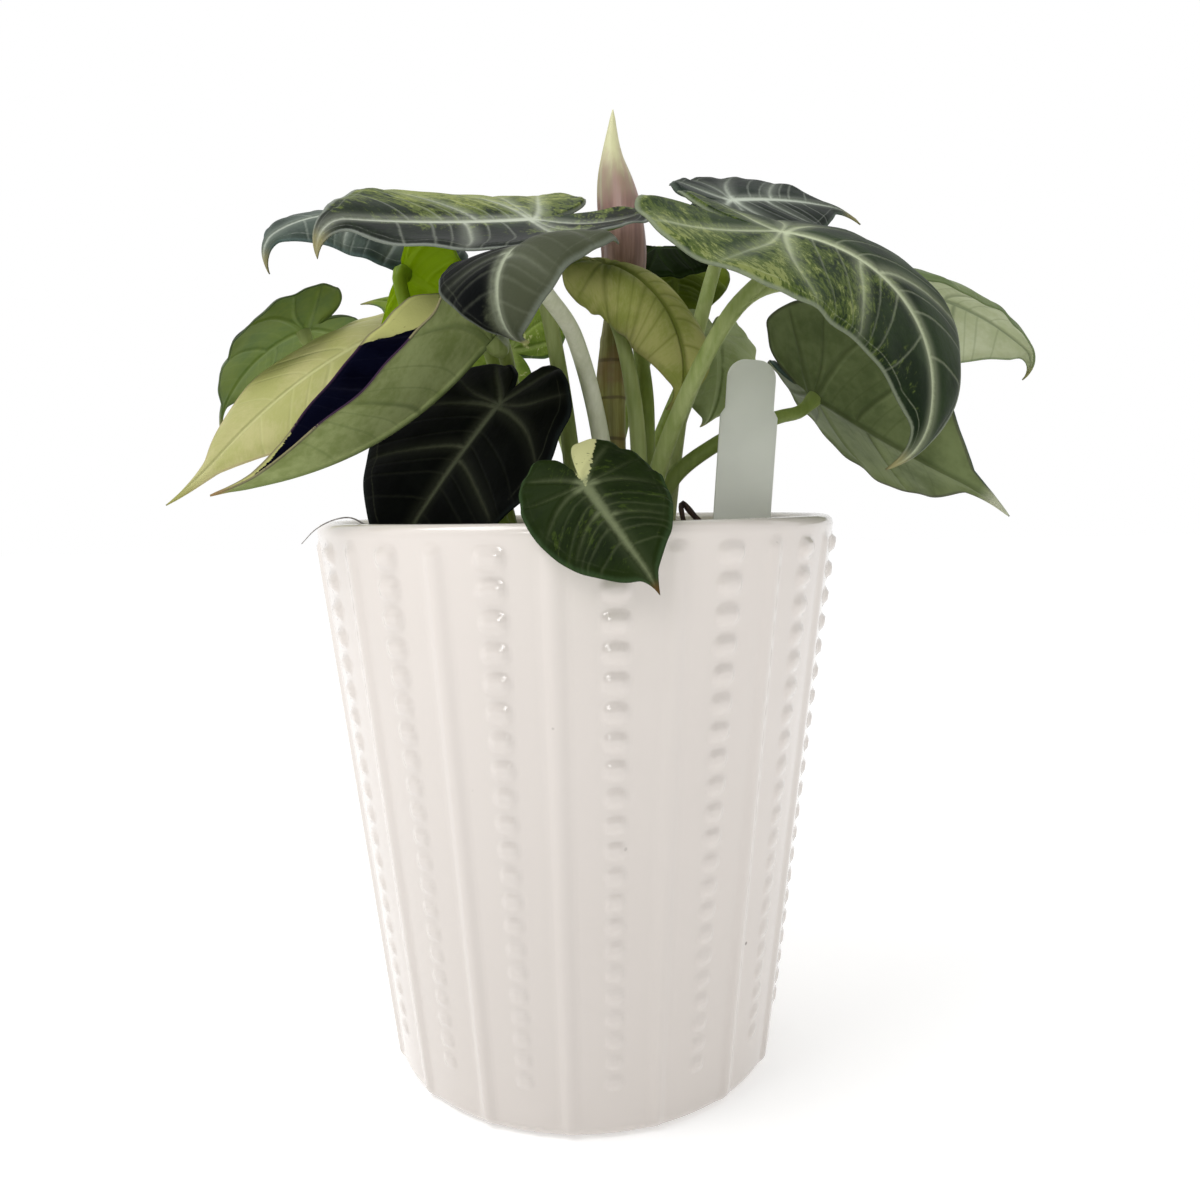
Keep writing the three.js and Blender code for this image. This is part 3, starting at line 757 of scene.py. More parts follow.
@dataclass(frozen=True)
class LeafForm:
    """How one blade is bent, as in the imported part, and the route of its petiole."""

    at: Point
    foot: Pair
    route: tuple[Point, ...]
    length: float
    width: float
    heading: float = 0.0
    rise: float = 0.0
    bank: float = 0.0
    drip: float = 3.0
    droop: float = 0.0
    bend: float = 1.0
    back: float = 0.0
    fold_left: float = 0.0
    fold_right: float = 0.0
    curl_left: float = 0.0
    curl_right: float = 0.0
    twist: float = 0.0
    tip: float = 0.0
    side: float = 0.0
    lobe: float = 1.0
    approach: float = 6.0

    def _headings(self, part: Array) -> tuple[Array, Array]:
        """The midrib's climb and sweep.

        Args:
            part: how far along, in blade lengths.

        Returns:
            Both angles in radians.
        """
        past = np.clip((part - TIP_START) * self.length / (TIP_SPAN * self.length + self.drip), 0, 1)
        climb = self.rise + self.back * np.maximum(-part, 0) / LOBE_SPAN
        climb = climb - self.droop * np.clip(part, 0, 1) ** self.bend - self.tip * past
        sweep = self.side * np.clip(part, 0, SIDE_END) ** SIDE_POWER
        return np.radians(climb), np.radians(sweep)

    def _midrib(self) -> tuple[Array, Array, Array, Array]:
        """The midrib as a table that starts behind the petiole.

        Returns:
            For each step how far along it is, its place, its climb and its sweep.
        """
        along = np.linspace(-BEHIND_JOINT * self.length, self.length + self.drip, MIDRIB_STEPS)
        climb, sweep = self._headings(along / self.length)
        ahead = heading_vector(climb, sweep)
        steps = (ahead[1:] + ahead[:-1]) / 2 * (along[1] - along[0])
        place = np.vstack([np.zeros(3), np.cumsum(steps, axis=0)])
        joint = [np.interp(0, along, place[:, axis]) for axis in range(3)]
        return along, place - joint, climb, sweep

    def _section(self, along: Array, across: Array) -> tuple[Array, Array]:
        """Folds and curls the section across the midrib, with a low ripple towards the margin.

        Args:
            along: millimetres from the petiole towards the tip.
            across: millimetres to the left.

        Returns:
            How far to the left of the midrib and how high above it each place lies.
        """
        half = self.width / 2
        out = np.abs(across)
        on_left = across >= 0
        fold = np.radians(np.where(on_left, self.fold_left, self.fold_right))
        curl = np.radians(np.where(on_left, self.curl_left, self.curl_right)) / half
        curl = np.where(np.abs(curl) < LEAST_CURL, FLAT_CURL / half, curl)
        sideways = (np.sin(fold + curl * out) - np.sin(fold)) / curl
        height = (np.cos(fold) - np.cos(fold + curl * out)) / curl
        part, share = along / self.length, across / half
        reach = np.clip(np.hypot(part, share), 0, RIPPLE_END)
        height = height + np.sin(RIPPLES * np.arctan2(share, part)) * reach ** 2
        return np.where(on_left, sideways, -sideways), height

    def surface(self, along: Array, across: Array) -> Array:
        """Bends places on the flat blade.

        Args:
            along: millimetres from the petiole towards the tip.
            across: millimetres to the left.

        Returns:
            A row in millimetres for each place.
        """
        table, places, climbs, sweeps = self._midrib()
        place = np.stack([np.interp(along, table, places[:, axis]) for axis in range(3)], axis=1)
        climb, sweep = np.interp(along, table, climbs), np.interp(along, table, sweeps)
        left = np.stack([-np.sin(sweep), np.cos(sweep), 0 * sweep], axis=1)
        above = np.cross(heading_vector(climb, sweep), left)
        bank = np.radians(self.bank + self.twist * along / self.length)
        sideways, height = self._section(along, across)
        place = place + left * (sideways * np.cos(bank) - height * np.sin(bank))[:, None]
        place = place + above * (sideways * np.sin(bank) + height * np.cos(bank))[:, None]
        turn = math.radians(self.heading)
        x = place[:, 0] * math.cos(turn) - place[:, 1] * math.sin(turn)
        y = place[:, 0] * math.sin(turn) + place[:, 1] * math.cos(turn)
        return np.stack([x, y, place[:, 2]], axis=1) + np.array(self.at, float)

    def normal(self, along: Array, across: Array) -> Array:
        """The bent blade's upward normal.

        Args:
            along: millimetres from the petiole towards the tip.
            across: millimetres to the left.

        Returns:
            A unit row for each place.
        """
        ahead = self.surface(along + NORMAL_STEP, across) - self.surface(along - NORMAL_STEP, across)
        left = self.surface(along, across + NORMAL_STEP) - self.surface(along, across - NORMAL_STEP)
        normal = np.cross(ahead, left)
        return normal / np.linalg.norm(normal, axis=1)[:, None]

    def outline(self, count: int) -> Array:
        """The flat outline once round from the tip, counter-clockwise from above.

        Args:
            count: how many places, an even number.

        Returns:
            A row of along and across for each place.
        """
        half = spline(np.array(HALF_OUTLINE), np.linspace(0, 1, OUTLINE_STEPS))
        along = half[:, 0] * self.length
        along = np.where(half[:, 0] < 0, along * self.lobe, along)
        rest = (half[:, 0] - DRIP_START) / (1 - DRIP_START)
        drip = DRIP_START * self.length + rest * ((1 - DRIP_START) * self.length + self.drip)
        along = np.where(half[:, 0] > DRIP_START, drip, along)
        across = np.maximum(half[:, 1], 0) * self.width / 2
        far = np.concatenate([[0], np.cumsum(np.hypot(np.diff(along), np.diff(across)))])
        even = np.linspace(0, far[-1], count // 2 + 1)
        left = np.stack([np.interp(even, far, along), np.interp(even, far, across)], axis=1)
        right = left[1:-1][::-1] * [1, -1]
        return np.vstack([left, right])

    def petiole(self, soil_height: float, count: int) -> Array:
        """The petiole's middle line from under the soil to the blade.

        Args:
            soil_height: height of the soil's top.
            count: how many places.

        Returns:
            A row in millimetres for each place.
        """
        joint = self.surface(np.zeros(1), np.zeros(1))[0]
        normal = self.normal(np.zeros(1), np.zeros(1))[0]
        x, y = self.foot
        upright = [(x, y, soil_height + up) for up in (-STEM_DEPTH, 0.0, STEM_UPRIGHT)]
        before, end = joint - normal * (self.approach + PETIOLE_LEAD), joint - normal * PETIOLE_GAP
        return stem_curve(np.array([*upright, *self.route, before, end], float), count)


@dataclass(frozen=True)
class BladeColours:
    """Display colours of one blade and how its upper side is mottled.

    A field that ends in _side leans its pattern to the left, and one that ends in _joint towards the
    petiole. The deepest green leaned onto one half is painted shade on that half. A patch of another
    colour lies beyond patch_end, or short of patch_start, in blade lengths, or beside the notch at
    patch_slope.
    """

    base: Rgb = (34, 48, 38)
    deep: Rgb = (18, 26, 22)
    mottle: Rgb = (70, 90, 50)
    flash: Rgb = (130, 140, 80)
    mottled: float = 0.0
    flashed: float = 0.0
    mottled_side: float = 0.0
    mottled_joint: float = 0.0
    vein: Rgb = (150, 165, 140)
    vein_strength: float = 0.8
    glow: float = 0.4
    margin: Rgb = (75, 95, 88)
    margin_strength: float = 0.6
    under: Rgb = (120, 140, 85)
    under_dark: Rgb = (95, 115, 70)
    under_vein: Rgb = (70, 80, 45)
    under_vein_strength: float = 0.5
    under_fine: float = 0.5
    under_fine_width: float = 0.0
    under_margin: Rgb = (80, 60, 70)
    tip: Rgb = (150, 140, 90)
    light_through: Rgb = (150, 180, 60)
    through: float = 0.12
    rough: float = 0.5
    shine: float = 0.1
    patch: Rgb | None = None
    patch_slope: float = 0.0
    patch_end: float = 0.0
    patch_start: float = -2.0
    fine_strength: float = 0.25
    side_strength: float = 0.85
    # painted shade: leans the deepest green onto one half of the blade
    shade_side: float = 0.0
    seed: float = 0.0


class BladeSkin(Shader):
    """What both sides of a blade share: where a point is on the flat blade, in millimetres."""

    def __init__(self, name: str, form: LeafForm, look: BladeColours) -> None:
        """Reads the flat place that the mesh holds.

        Args:
            name: the material's name.
            form: how the blade is bent.
            look: the blade's colours.
        """
        super().__init__(name)
        self.form, self.look = form, look
        u, v, _ = self.split(self.uv_place())
        self.along, self.across = (v - 0.5) * UV_SPAN, (u - 0.5) * UV_SPAN
        self.reach = self.attribute("reach")
        from_joint = root(self.along * self.along + self.across * self.across)
        self.to_margin = from_joint * (1 - self.reach) / most(self.reach, LEAST_REACH)
        self.gap = vein_gap(self.along, self.across, form.length, form.width)
        self.fine_gap = vein_gap(self.along, self.across, form.length, form.width, FINE_VEINS)

    def tipped(self, colour: object) -> Socket:
        """Colours the drip tip.

        Args:
            colour: the colour of the rest.

        Returns:
            The colour with the tip's own at its end.
        """
        start = 0.95 * self.form.length
        end = self.form.length + 0.5 * self.form.drip
        return self.blend(even_step(self.along, start, end) * 0.7, colour, self.look.tip)


class UpperSide(BladeSkin):
    """Dark leathery skin with pale veins, mottled in streaks that follow the side veins."""

    def __init__(self, name: str, form: LeafForm, look: BladeColours) -> None:
        """Makes the clouds, streaks and specks that break up the colours, each about 0 on average.

        Args:
            name: the material's name.
            form: how the blade is bent.
            look: the blade's colours.
        """
        super().__init__(name, form, look)
        self.out = size(self.across) / (form.width / 2)
        fan = self.along - 0.36 * form.length * most(self.out, SMALL) ** 1.4
        flat = self.point(self.along, self.across, look.seed * 3)
        streak = self._fanned(fan, (3.0, 5.6), look.seed)
        speck = self._fanned(fan, (0.85, 1.3), look.seed + 7)
        self.cloud = self.noise(flat, 0.055, 3, 0.55)
        self.streak = self.noise(streak, 1.0, 6, 0.76, 0.6)
        self.speck = self.noise(speck, 1.0, 4, 0.65)
        self.drift, self.grit = self.cloud - 0.5, self.speck - 0.5

    def _fanned(self, fan: Value, grain: Pair, seed: float) -> Socket:
        """Coordinates for a pattern that fans out with the side veins."""
        return self.point(fan / grain[0], self.across / grain[1], seed)

    def paint(self) -> Material:
        """Lays the colours over one another and ends the material.

        Returns:
            The material.
        """
        look = self.look
        colour = self._ground()
        if look.mottled > 0:
            colour = self._spotted(colour, look.mottle, 0.72 - 0.34 * look.mottled, 0.09, 0.9)
            colour = self._spotted(colour, look.flash, 0.80 - 0.34 * look.flashed, 0.06, 0.85)
        if look.patch is not None:
            colour = self._patched(colour)
        colour, line = self._veined(colour)
        colour = self._looped(colour)
        band = 1 - even_step(self.to_margin + self.grit * 0.6, 0.2, 1.3)
        colour = self.blend(band * look.margin_strength, colour, look.margin)
        rough = look.rough + self.drift * 0.12 + line * 0.08
        return self.finish(self.tipped(colour), rough, self._relief(), glow=look.light_through,
                           through=look.through, shine=look.shine)

    def _ground(self) -> Socket:
        """The two darkest greens, in soft clouds, with painted shade leaned onto one half.

        Returns:
            The colour.
        """
        look = self.look
        # painted shade: the across term darkens one half of the blade towards the deepest green
        dark = self.cloud + self.grit * 0.35 + self.across * (look.shade_side / self.form.width)
        return self.blend(even_step(dark, 0.38, 0.62), look.base, look.deep)

    def _spotted(self, colour: object, tint: Rgb, level: float, edge: float, strength: float) -> Socket:
        """Adds streaky spots of another green.

        Args:
            colour: the colour below.
            tint: the spots' colour.
            level: how far the pattern has to rise for a spot.
            edge: how much further until the spot is full.
            strength: how much it covers then.

        Returns:
            The colour.
        """
        look = self.look
        lean = self.across * (look.mottled_side / self.form.width) + self.drift * 0.6
        lean = lean - self.along * (look.mottled_joint / self.form.length)
        amount = self.streak + self.grit * 0.5 + lean
        return self.blend(even_step(amount, level, level + edge) * strength, colour, tint)

    def _patched(self, colour: object) -> Socket:
        """Adds the ragged patch of another colour, with dots of the ground in it.

        Args:
            colour: the colour below.

        Returns:
            The colour.
        """
        edge = self._inside_patch() + self.grit * 2.4 + (self.streak - 0.5) * 2.0
        dots = 1 - even_step(self.speck, 0.66, 0.7) * 0.8
        return self.blend(even_step(edge, -0.15, 0.15) * dots, colour, self.look.patch)

    def _inside_patch(self) -> Value:
        """Millimetres inside the patch of another colour, below 0 outside it.

        Returns:
            The distance: beyond lines across the midrib, or in a lobe beside the notch.
        """
        look, length = self.look, self.form.length
        if look.patch_slope != 0:
            return least(0 - look.patch_slope * self.along - self.across, self.across + 0.1)
        start = look.patch_start * length - self.along + size(self.across) * 2.0
        return most(self.along - look.patch_end * length + size(self.across) * 1.2, start)

    def _veined(self, colour: object) -> tuple[Socket, Value]:
        """Adds the veins with their halo, and the fine veins between them.

        Args:
            colour: the colour below.

        Returns:
            The colour, and where the veins are, from 0 to 1.
        """
        look = self.look
        rib = 1 - even_step(midrib_gap(self.along, self.across, self.form.length), 0.5, 2.5)
        sides = look.side_strength + (1 - look.side_strength) * rib
        fade = (1 - 0.55 * even_step(self.out, 0.3, 1.0)) * sides
        near = (1 - even_step(self.gap, -0.6, 3.6)) * fade * (1 - 0.4 * least(self.reach, 1.0))
        colour = self.blend(near * look.glow, colour, look.vein)
        line = (1 - even_step(self.gap + self.grit * 0.9, -1.0, 0.7)) * fade
        line = line * even_step(self.to_margin, 0.8, 3.5)
        colour = self.blend(line * look.vein_strength, colour, look.vein)
        thin = 1 - even_step(self.fine_gap + self.grit * 0.8, -0.2, 0.5)
        thin = thin * (1 - 0.7 * self.out)
        return self.blend(thin * look.fine_strength, colour, look.vein), line

    def _looped(self, colour: object) -> Socket:
        """Adds the faint, broken vein that runs inside the margin.

        Args:
            colour: the colour below.

        Returns:
            The colour.
        """
        look = self.look
        away = size(self.to_margin - 2.4 - self.drift * 4.0)
        loop = (1 - even_step(away, 0.0, 0.32)) * even_step(self.cloud + self.speck, 0.8, 1.2) * 0.35
        return self.blend(loop * look.vein_strength * look.side_strength, colour, look.vein)

    def _relief(self) -> Socket:
        """The skin's pores and grain, and the grooves over the veins.

        Returns:
            The normal.
        """
        grain = self.noise(self.object_place, 1400.0, 2, 0.6)
        pores = self.noise(self.object_place, 420.0, 2, 0.5)
        normal = self.bump(grain, 0.05, self.bump(pores, 0.12))
        normal = self.bump(even_step(self.gap, -0.4, 0.8), 0.22, normal)
        return self.bump(even_step(self.fine_gap, -0.2, 0.7), 0.12, normal)


class LowerSide(BladeSkin):
    """Paler skin with veins that stand proud and a coloured line along the margin."""

    def paint(self) -> Material:
        """Lays the colours over one another and ends the material.

        Returns:
            The material.
        """
        look = self.look
        flat = self.point(self.along, self.across, look.seed * 5)
        cloud = self.noise(flat, 0.06, 4, 0.6)
        cells = self.noise(flat, 0.5, 3, 0.6) - 0.5
        ground = even_step(cloud + cells * 0.3, 0.35, 0.7)
        colour = self.blend(ground, look.under, look.under_dark)
        line = 1 - even_step(self.gap + cells * 0.6, -0.4, 0.6)
        line = line * even_step(self.to_margin, 1.0, 4.0)
        colour = self.blend(line * look.under_vein_strength, colour, look.under_vein)
        thin = 1 - even_step(self.fine_gap - look.under_fine_width, 0.0, 0.35)
        colour = self.blend(thin * look.under_vein_strength * look.under_fine, colour, look.under_vein)
        band = 1 - even_step(self.to_margin, 0.4, 1.2)
        colour = self.blend(band * 0.6, colour, look.under_margin)
        grain = self.noise(self.object_place, 1100.0, 2, 0.6)
        normal = self.bump(1 - even_step(self.gap, -0.4, 0.9), 0.3, self.bump(grain, 0.06))
        return self.finish(self.tipped(colour), look.rough + 0.1, normal,
                           glow=look.light_through, through=look.through, shine=look.shine)


@dataclass
class Blade:
    """One heart-shaped leaf blade with sunk veins above and proud veins below."""

    name: str
    form: LeafForm
    colours: BladeColours
    around: int = 180
    rings: int = 34
    crowding: float = 1.2
    half_thickness: float = 0.4
    margin_half_thickness: float = 0.22
    margin_start: float = 0.9
    groove: float = 0.3
    proud: float = 0.45
    vein_edge: Pair = (-0.3, 0.9)
    puff: float = 0.35
    puff_edge: Pair = (0.3, 6.0)
    margin_roll: float = 0.5
    roll_start: float = 0.93
    margin_wave: float = 0.35
    wave_start: float = 0.7
    waves: int = 11
    small_waves: int = 19
    joint_bulge: float = 0.5
    joint_spread: float = 3.0

    def build(self) -> None:
        """Makes the blade's mesh, dresses it and fixes it to the plant."""
        along, across, reach = self._flat()
        places = self._faces_apart(along, across, reach)
        sides = [UpperSide(f"Upper_{self.name}", self.form, self.colours).paint(),
                 LowerSide(f"Lower_{self.name}", self.form, self.colours).paint()]
        piece = new_piece(f"Blade_{self.name}", places, self._faces(), sides)
        self._mark(piece.data, along, across, reach)
        keep(piece, Slot.BLADE, f"blade_{self.name}")

    def _flat(self) -> tuple[Array, Array, Array]:
        """Lays the flat blade out in rings about the petiole, closer together at the margin.

        Returns:
            Along, across, and the reach from 0 at the petiole to 1 at the margin.
        """
        rim = self.form.outline(self.around)
        parts = 1 - (1 - np.arange(1, self.rings + 1) / self.rings) ** self.crowding
        flat = np.vstack([np.zeros((1, 2)), *(rim * part for part in parts)])
        reach = np.concatenate([[0.0], np.repeat(parts, self.around)])
        return flat[:, 0], flat[:, 1], reach

    def _faces_apart(self, along: Array, across: Array, reach: Array) -> Array:
        """Lays the upper and the lower face on either side of the bent blade.

        Args:
            along: millimetres from the petiole.
            across: millimetres to the left.
            reach: 0 at the petiole and 1 at the margin.

        Returns:
            The upper corners and then the lower ones.
        """
        middle = self.form.surface(along, across)
        normal = self.form.normal(along, across)
        gap = vein_gap(along, across, self.form.length, self.form.width)
        inside = 1 - even_step(reach, self.margin_start, 1.0)
        line = (1 - even_step(gap, *self.vein_edge)) * inside
        puff = even_step(gap, *self.puff_edge) * inside * self.puff
        half = self.half_thickness + (self.margin_half_thickness - self.half_thickness) * (1 - inside)
        turn = np.arctan2(across, along)
        phase = self.colours.seed
        wave = np.sin(self.waves * turn + phase) + 0.6 * np.sin(self.small_waves * turn + 2.3 * phase)
        shift = self.margin_wave * wave * even_step(reach, self.wave_start, 1.0)
        shift = shift - self.margin_roll * even_step(reach, self.roll_start, 1.0)
        joint = self.joint_bulge * np.exp(-(along ** 2 + across ** 2) / self.joint_spread ** 2)
        above = shift + half + puff - self.groove * line
        below = shift - half + puff - self.proud * line - joint
        return np.vstack([middle + normal * above[:, None], middle + normal * below[:, None]])

    def _faces(self) -> Faces:
        """Joins the corners.

        Returns:
            The faces of the upper side, the margin and the lower side.
        """
        count = self.around
        under = 1 + count * self.rings
        above = []
        for k in range(count):
            after = (k + 1) % count
            above.append([0, 1 + k, 1 + after])
            for ring in range(self.rings - 1):
                near, far = 1 + ring * count, 1 + (ring + 1) * count
                above.append([near + k, far + k, far + after, near + after])
        below = [[corner + under for corner in reversed(face)] for face in above]
        rim = 1 + (self.rings - 1) * count
        edge = [
            [rim + k, rim + under + k, rim + under + (k + 1) % count, rim + (k + 1) % count]
            for k in range(count)
        ]
        return above + edge + below

    def _mark(self, mesh: Mesh, along: Array, across: Array,
              reach: Array) -> None:
        """Writes what the materials read: the flat place as the UV map, and the reach.

        Args:
            mesh: the blade's mesh.
            along: millimetres from the petiole.
            across: millimetres to the left.
            reach: 0 at the petiole and 1 at the margin.
        """
        flat = np.stack([0.5 + across / UV_SPAN, 0.5 + along / UV_SPAN], axis=1)
        flat = np.vstack([flat, flat])
        corners = np.empty(len(mesh.loops), dtype=np.int32)
        mesh.loops.foreach_get("vertex_index", corners)
        mesh.uv_layers.new(name="Flat").uv.foreach_set("vector", flat[corners].ravel())
        mark(mesh, "reach", np.concatenate([reach, reach]))
        first_below = self.around * (self.rings + 1)
        below = np.arange(len(mesh.polygons)) >= first_below
        mesh.polygons.foreach_set("material_index", below.astype(np.int32))


@dataclass(frozen=True)
class PetioleSkin:
    """Pale green with long fine streaks, whiter where it leaves the soil."""

    pale: Rgb = (176, 186, 128)
    dark: Rgb = (132, 148, 82)
    foot: Rgb = (206, 208, 164)
    light_through: Rgb = (190, 200, 110)
    through: float = 0.3

    def material(self, name: str) -> Material:
        """Makes the material.

        Args:
            name: the material's name.

        Returns:
            The material.
        """
        shader = Shader(name)
        streak = shader.streaks(900.0, 60.0)
        cloud = shader.noise(shader.object_place, 60.0, 3, 0.5)
        tone = even_step(streak * 0.5 + cloud * 0.5, 0.3, 0.7)
        low = 1 - even_step(shader.attribute("along"), 0.1, 0.5)
        colour = shader.blend(tone, self.pale, self.dark)
        colour = shader.blend(low * 0.5, colour, self.foot)
        return shader.finish(colour, 0.45, shader.bump(streak, 0.12),
                             glow=self.light_through, through=self.through, shine=0.2)


@dataclass
class Petiole:
    """One leaf stalk: a green tube, sheathed at the foot and flared under the blade."""

    name: str
    form: LeafForm
    skin: PetioleSkin = PetioleSkin()
    soil_height: float = 126.5
    foot_radius: float = 2.7
    top_radius: float = 1.75
    sheath_growth: float = 0.3
    sheath_end: Pair = (0.12, 0.55)
    flare: float = 0.7
    flare_start: float = 0.955
    steps: int = 56
    sides: int = 18

    def build(self) -> None:
        """Sweeps the petiole along its line and fixes it to the plant."""
        line = self.form.petiole(self.soil_height, self.steps)
        edges = [(k, k + 1) for k in range(self.steps - 1)]
        piece = new_piece(f"Petiole_{self.name}", line, [], edges=edges)
        recipe = Recipe(f"Petiole {self.name}")
        foot = recipe.size("Foot radius", self.foot_radius)
        top = recipe.size("Top radius", self.top_radius)
        sheath = recipe.size("Sheath growth", self.sheath_growth)
        flare = recipe.size("Flare", self.flare)
        curve = recipe.node("GeometryNodeMeshToCurve", None, {"Mesh": recipe.own}).outputs[0]
        part = recipe.number(recipe.node("GeometryNodeSplineParameter"), "Factor")
        radius = foot + (top - foot) * part
        radius = radius + sheath * (1 - even_step(part, *self.sheath_end))
        radius = radius + flare * even_step(part, self.flare_start, 1.0)
        sockets = {0: curve, "Name": "along", "Value": part}
        marked = recipe.node("GeometryNodeStoreNamedAttribute", {"data_type": "FLOAT"}, sockets)
        sockets = {"Resolution": self.sides, "Radius": 1.0}
        ring = recipe.node("GeometryNodeCurvePrimitiveCircle", None, sockets)
        sockets = {0: marked.outputs[0], 1: ring.outputs[0], "Scale": radius * MM, "Fill Caps": True}
        skin = recipe.node("GeometryNodeCurveToMesh", None, sockets).outputs[0]
        recipe.run(piece, skin, self.skin.material(f"Stem_{self.name}"))
        piece.data.shade_smooth()
        keep(piece, Slot.PETIOLE, f"petiole_{self.name}")


@dataclass(frozen=True)
class Glaze:
    """Warm white glaze, slightly wavy, with a few dark pinholes."""

    light: Rgb = (217, 210, 204)
    dark: Rgb = (211, 203, 196)
    pinhole: Rgb = (90, 78, 70)
    pinhole_strength: float = 0.75
    rough: float = 0.12
    coat: float = 0.3

    def material(self) -> Material:
        """Makes the material.

        Returns:
            The material.
        """
        shader = Shader("Glaze")
        cloud = shader.noise(shader.object_place, 14.0, 3, 0.5)
        wave = shader.noise(shader.object_place, 70.0, 2, 0.5)
        rare = shader.noise(shader.object_place, 45.0, 1, 0.5)
        sockets = {"Vector": shader.object_place, "Scale": 130.0}
        away = shader.number(shader.node("ShaderNodeTexVoronoi", None, sockets), "Distance")
        pit = (1 - even_step(away, 0.05, 0.09)) * even_step(rare, 0.66, 0.7)
        colour = shader.blend(cloud, self.light, self.dark)
        colour = shader.blend(pit * self.pinhole_strength, colour, self.pinhole)
        normal = shader.bump(wave, 0.25)
        return shader.finish(colour, self.rough + 0.05 * cloud, normal, self.coat)


@dataclass
class Pot:
    """The tapered pot with columns of beads and a rounded rib halfway between two columns.

    Towards the rim the beads grow wider and prouder.
    """

    height: float = 148.5
    rim_radius: float = 70.0
    foot_radius: float = 53.0
    wall: float = 4.5
    floor: float = 6.0
    foot_round: float = 3.5
    foot_round_turn: float = 80.0
    foot_middle: float = 25.0
    lip_start: float = 22.5
    inside_start: float = 4.0
    floor_middle: float = 20.0
    columns: int = 16
    first_turn: float = 6.8
    beads: int = 21
    bead_pitch: float = 7.1
    top_bead_below_rim: float = 7.5
    bead_half_width: float = 3.3
    bead_half_height: float = 2.45
    bead_proud: float = 1.3
    bead_square: float = 3.0
    bead_edge: Pair = (0.5, 1.08)
    foot_bead_width: float = 0.85
    bead_width_growth: float = 0.38
    foot_bead_proud: float = 0.4
    bead_proud_growth: float = 0.68
    rib_half_width: float = 3.4
    rib_proud: float = 0.85
    rib_edge: Pair = (0.1, 1.0)
    rib_end_below_rim: Pair = (6.5, 4.0)
    rows_in_bead: int = 8
    foot_rows: int = 6
    lip_rows: int = 8
    inside_rows: int = 10
    bead_corners: int = 14
    bead_reach: float = 4.4
    side_corners: tuple[float, ...] = (5.4, 7.0, 9.2, 10.6, 11.4, 12.2, 12.9)
    glaze: Glaze = Glaze()

    def radius(self, height: Number) -> Number:
        """Radius of the outer wall at a height."""
        return self.foot_radius + (self.rim_radius - self.foot_radius) / self.height * height

    def build(self) -> None:
        """Turns the pot, raises its relief and fixes it to the plant."""
        profile = self._profile()
        turns = self._turns()
        places, faces = self._revolve(profile, turns)
        piece = new_piece("Pot", places, faces)
        raised = np.repeat([row[2] for row in profile], len(turns))
        mark(piece.data, "raised", np.concatenate([raised, [0.0, 0.0]]))
        self._raise(piece)
        piece.data.shade_smooth()
        keep(piece, Slot.GLAZE, "pot")

    def _profile(self) -> list[tuple[float, float, float]]:
        """The section from the foot's middle over the rim to the floor's middle.

        Returns:
            Radius, height, and share of the relief for each row.
        """
        rows = [(self.foot_middle, 0.0, 0.0)]
        corner = self.radius(self.foot_round) - self.foot_round
        for angle in np.radians(np.linspace(0, self.foot_round_turn, self.foot_rows)):
            height = self.foot_round * (1 - math.cos(angle))
            rows.append((corner + self.foot_round * math.sin(angle), height, math.sin(angle) ** 2))
        lip = self.wall / 2
        top = self.height - lip
        start, end = self.radius(self.foot_round), self.radius(top)
        for part in np.linspace(0, 1, self.rows_in_bead * self.beads):
            radius = start * (end / start) ** part
            height = (radius - self.foot_radius) * self.height / (self.rim_radius - self.foot_radius)
            rows.append((radius, height, 1.0))
        middle = end - lip
        for angle in np.radians(np.linspace(self.lip_start, 180, self.lip_rows)):
            rows.append((middle + lip * math.cos(angle), top + lip * math.sin(angle), 0.0))
        for height in np.linspace(top - self.inside_start, self.floor, self.inside_rows):
            rows.append((self.radius(height) - self.wall, height, 0.0))
        rows.append((self.floor_middle, self.floor, 0.0))
        return rows

    def _turns(self) -> Array:
        """Angles round the pot, closer together at the beads and the ribs.

        Returns:
            The angles in radians, counter-clockwise from above.
        """
        beads = np.linspace(-self.bead_reach, self.bead_reach, self.bead_corners)
        before = [-spot for spot in self.side_corners]
        half = math.pi / self.columns * self.rim_radius
        sector = np.array(sorted([*before, *beads, *self.side_corners, half])) / self.rim_radius
        step = 2 * math.pi / self.columns
        first = math.radians(self.first_turn)
        return np.concatenate([first + column * step + sector for column in range(self.columns)])

    def _revolve(self, profile: Sequence[tuple[float, float, float]],
                 turns: Array) -> tuple[Array, Faces]:
        """Turns the section about the pot's axis.

        Args:
            profile: radius, height and relief of each row.
            turns: angles from the front, counter-clockwise from above.

        Returns:
            The corners and the faces.
        """
        count, last = len(turns), len(profile) - 1
        rings = []
        for radius, height, _ in profile:
            level = np.full(count, height)
            rings.append(np.stack([radius * np.sin(turns), -radius * np.cos(turns), level], axis=1))
        places = np.vstack([*rings, [[0, 0, 0], [0, 0, self.floor]]])
        foot, inside = count * len(profile), count * len(profile) + 1
        faces = ring_faces(len(profile), count)
        for k in range(count):
            after = (k + 1) % count
            faces.append([foot, after, k])
            faces.append([inside, last * count + k, last * count + after])
        return places, faces

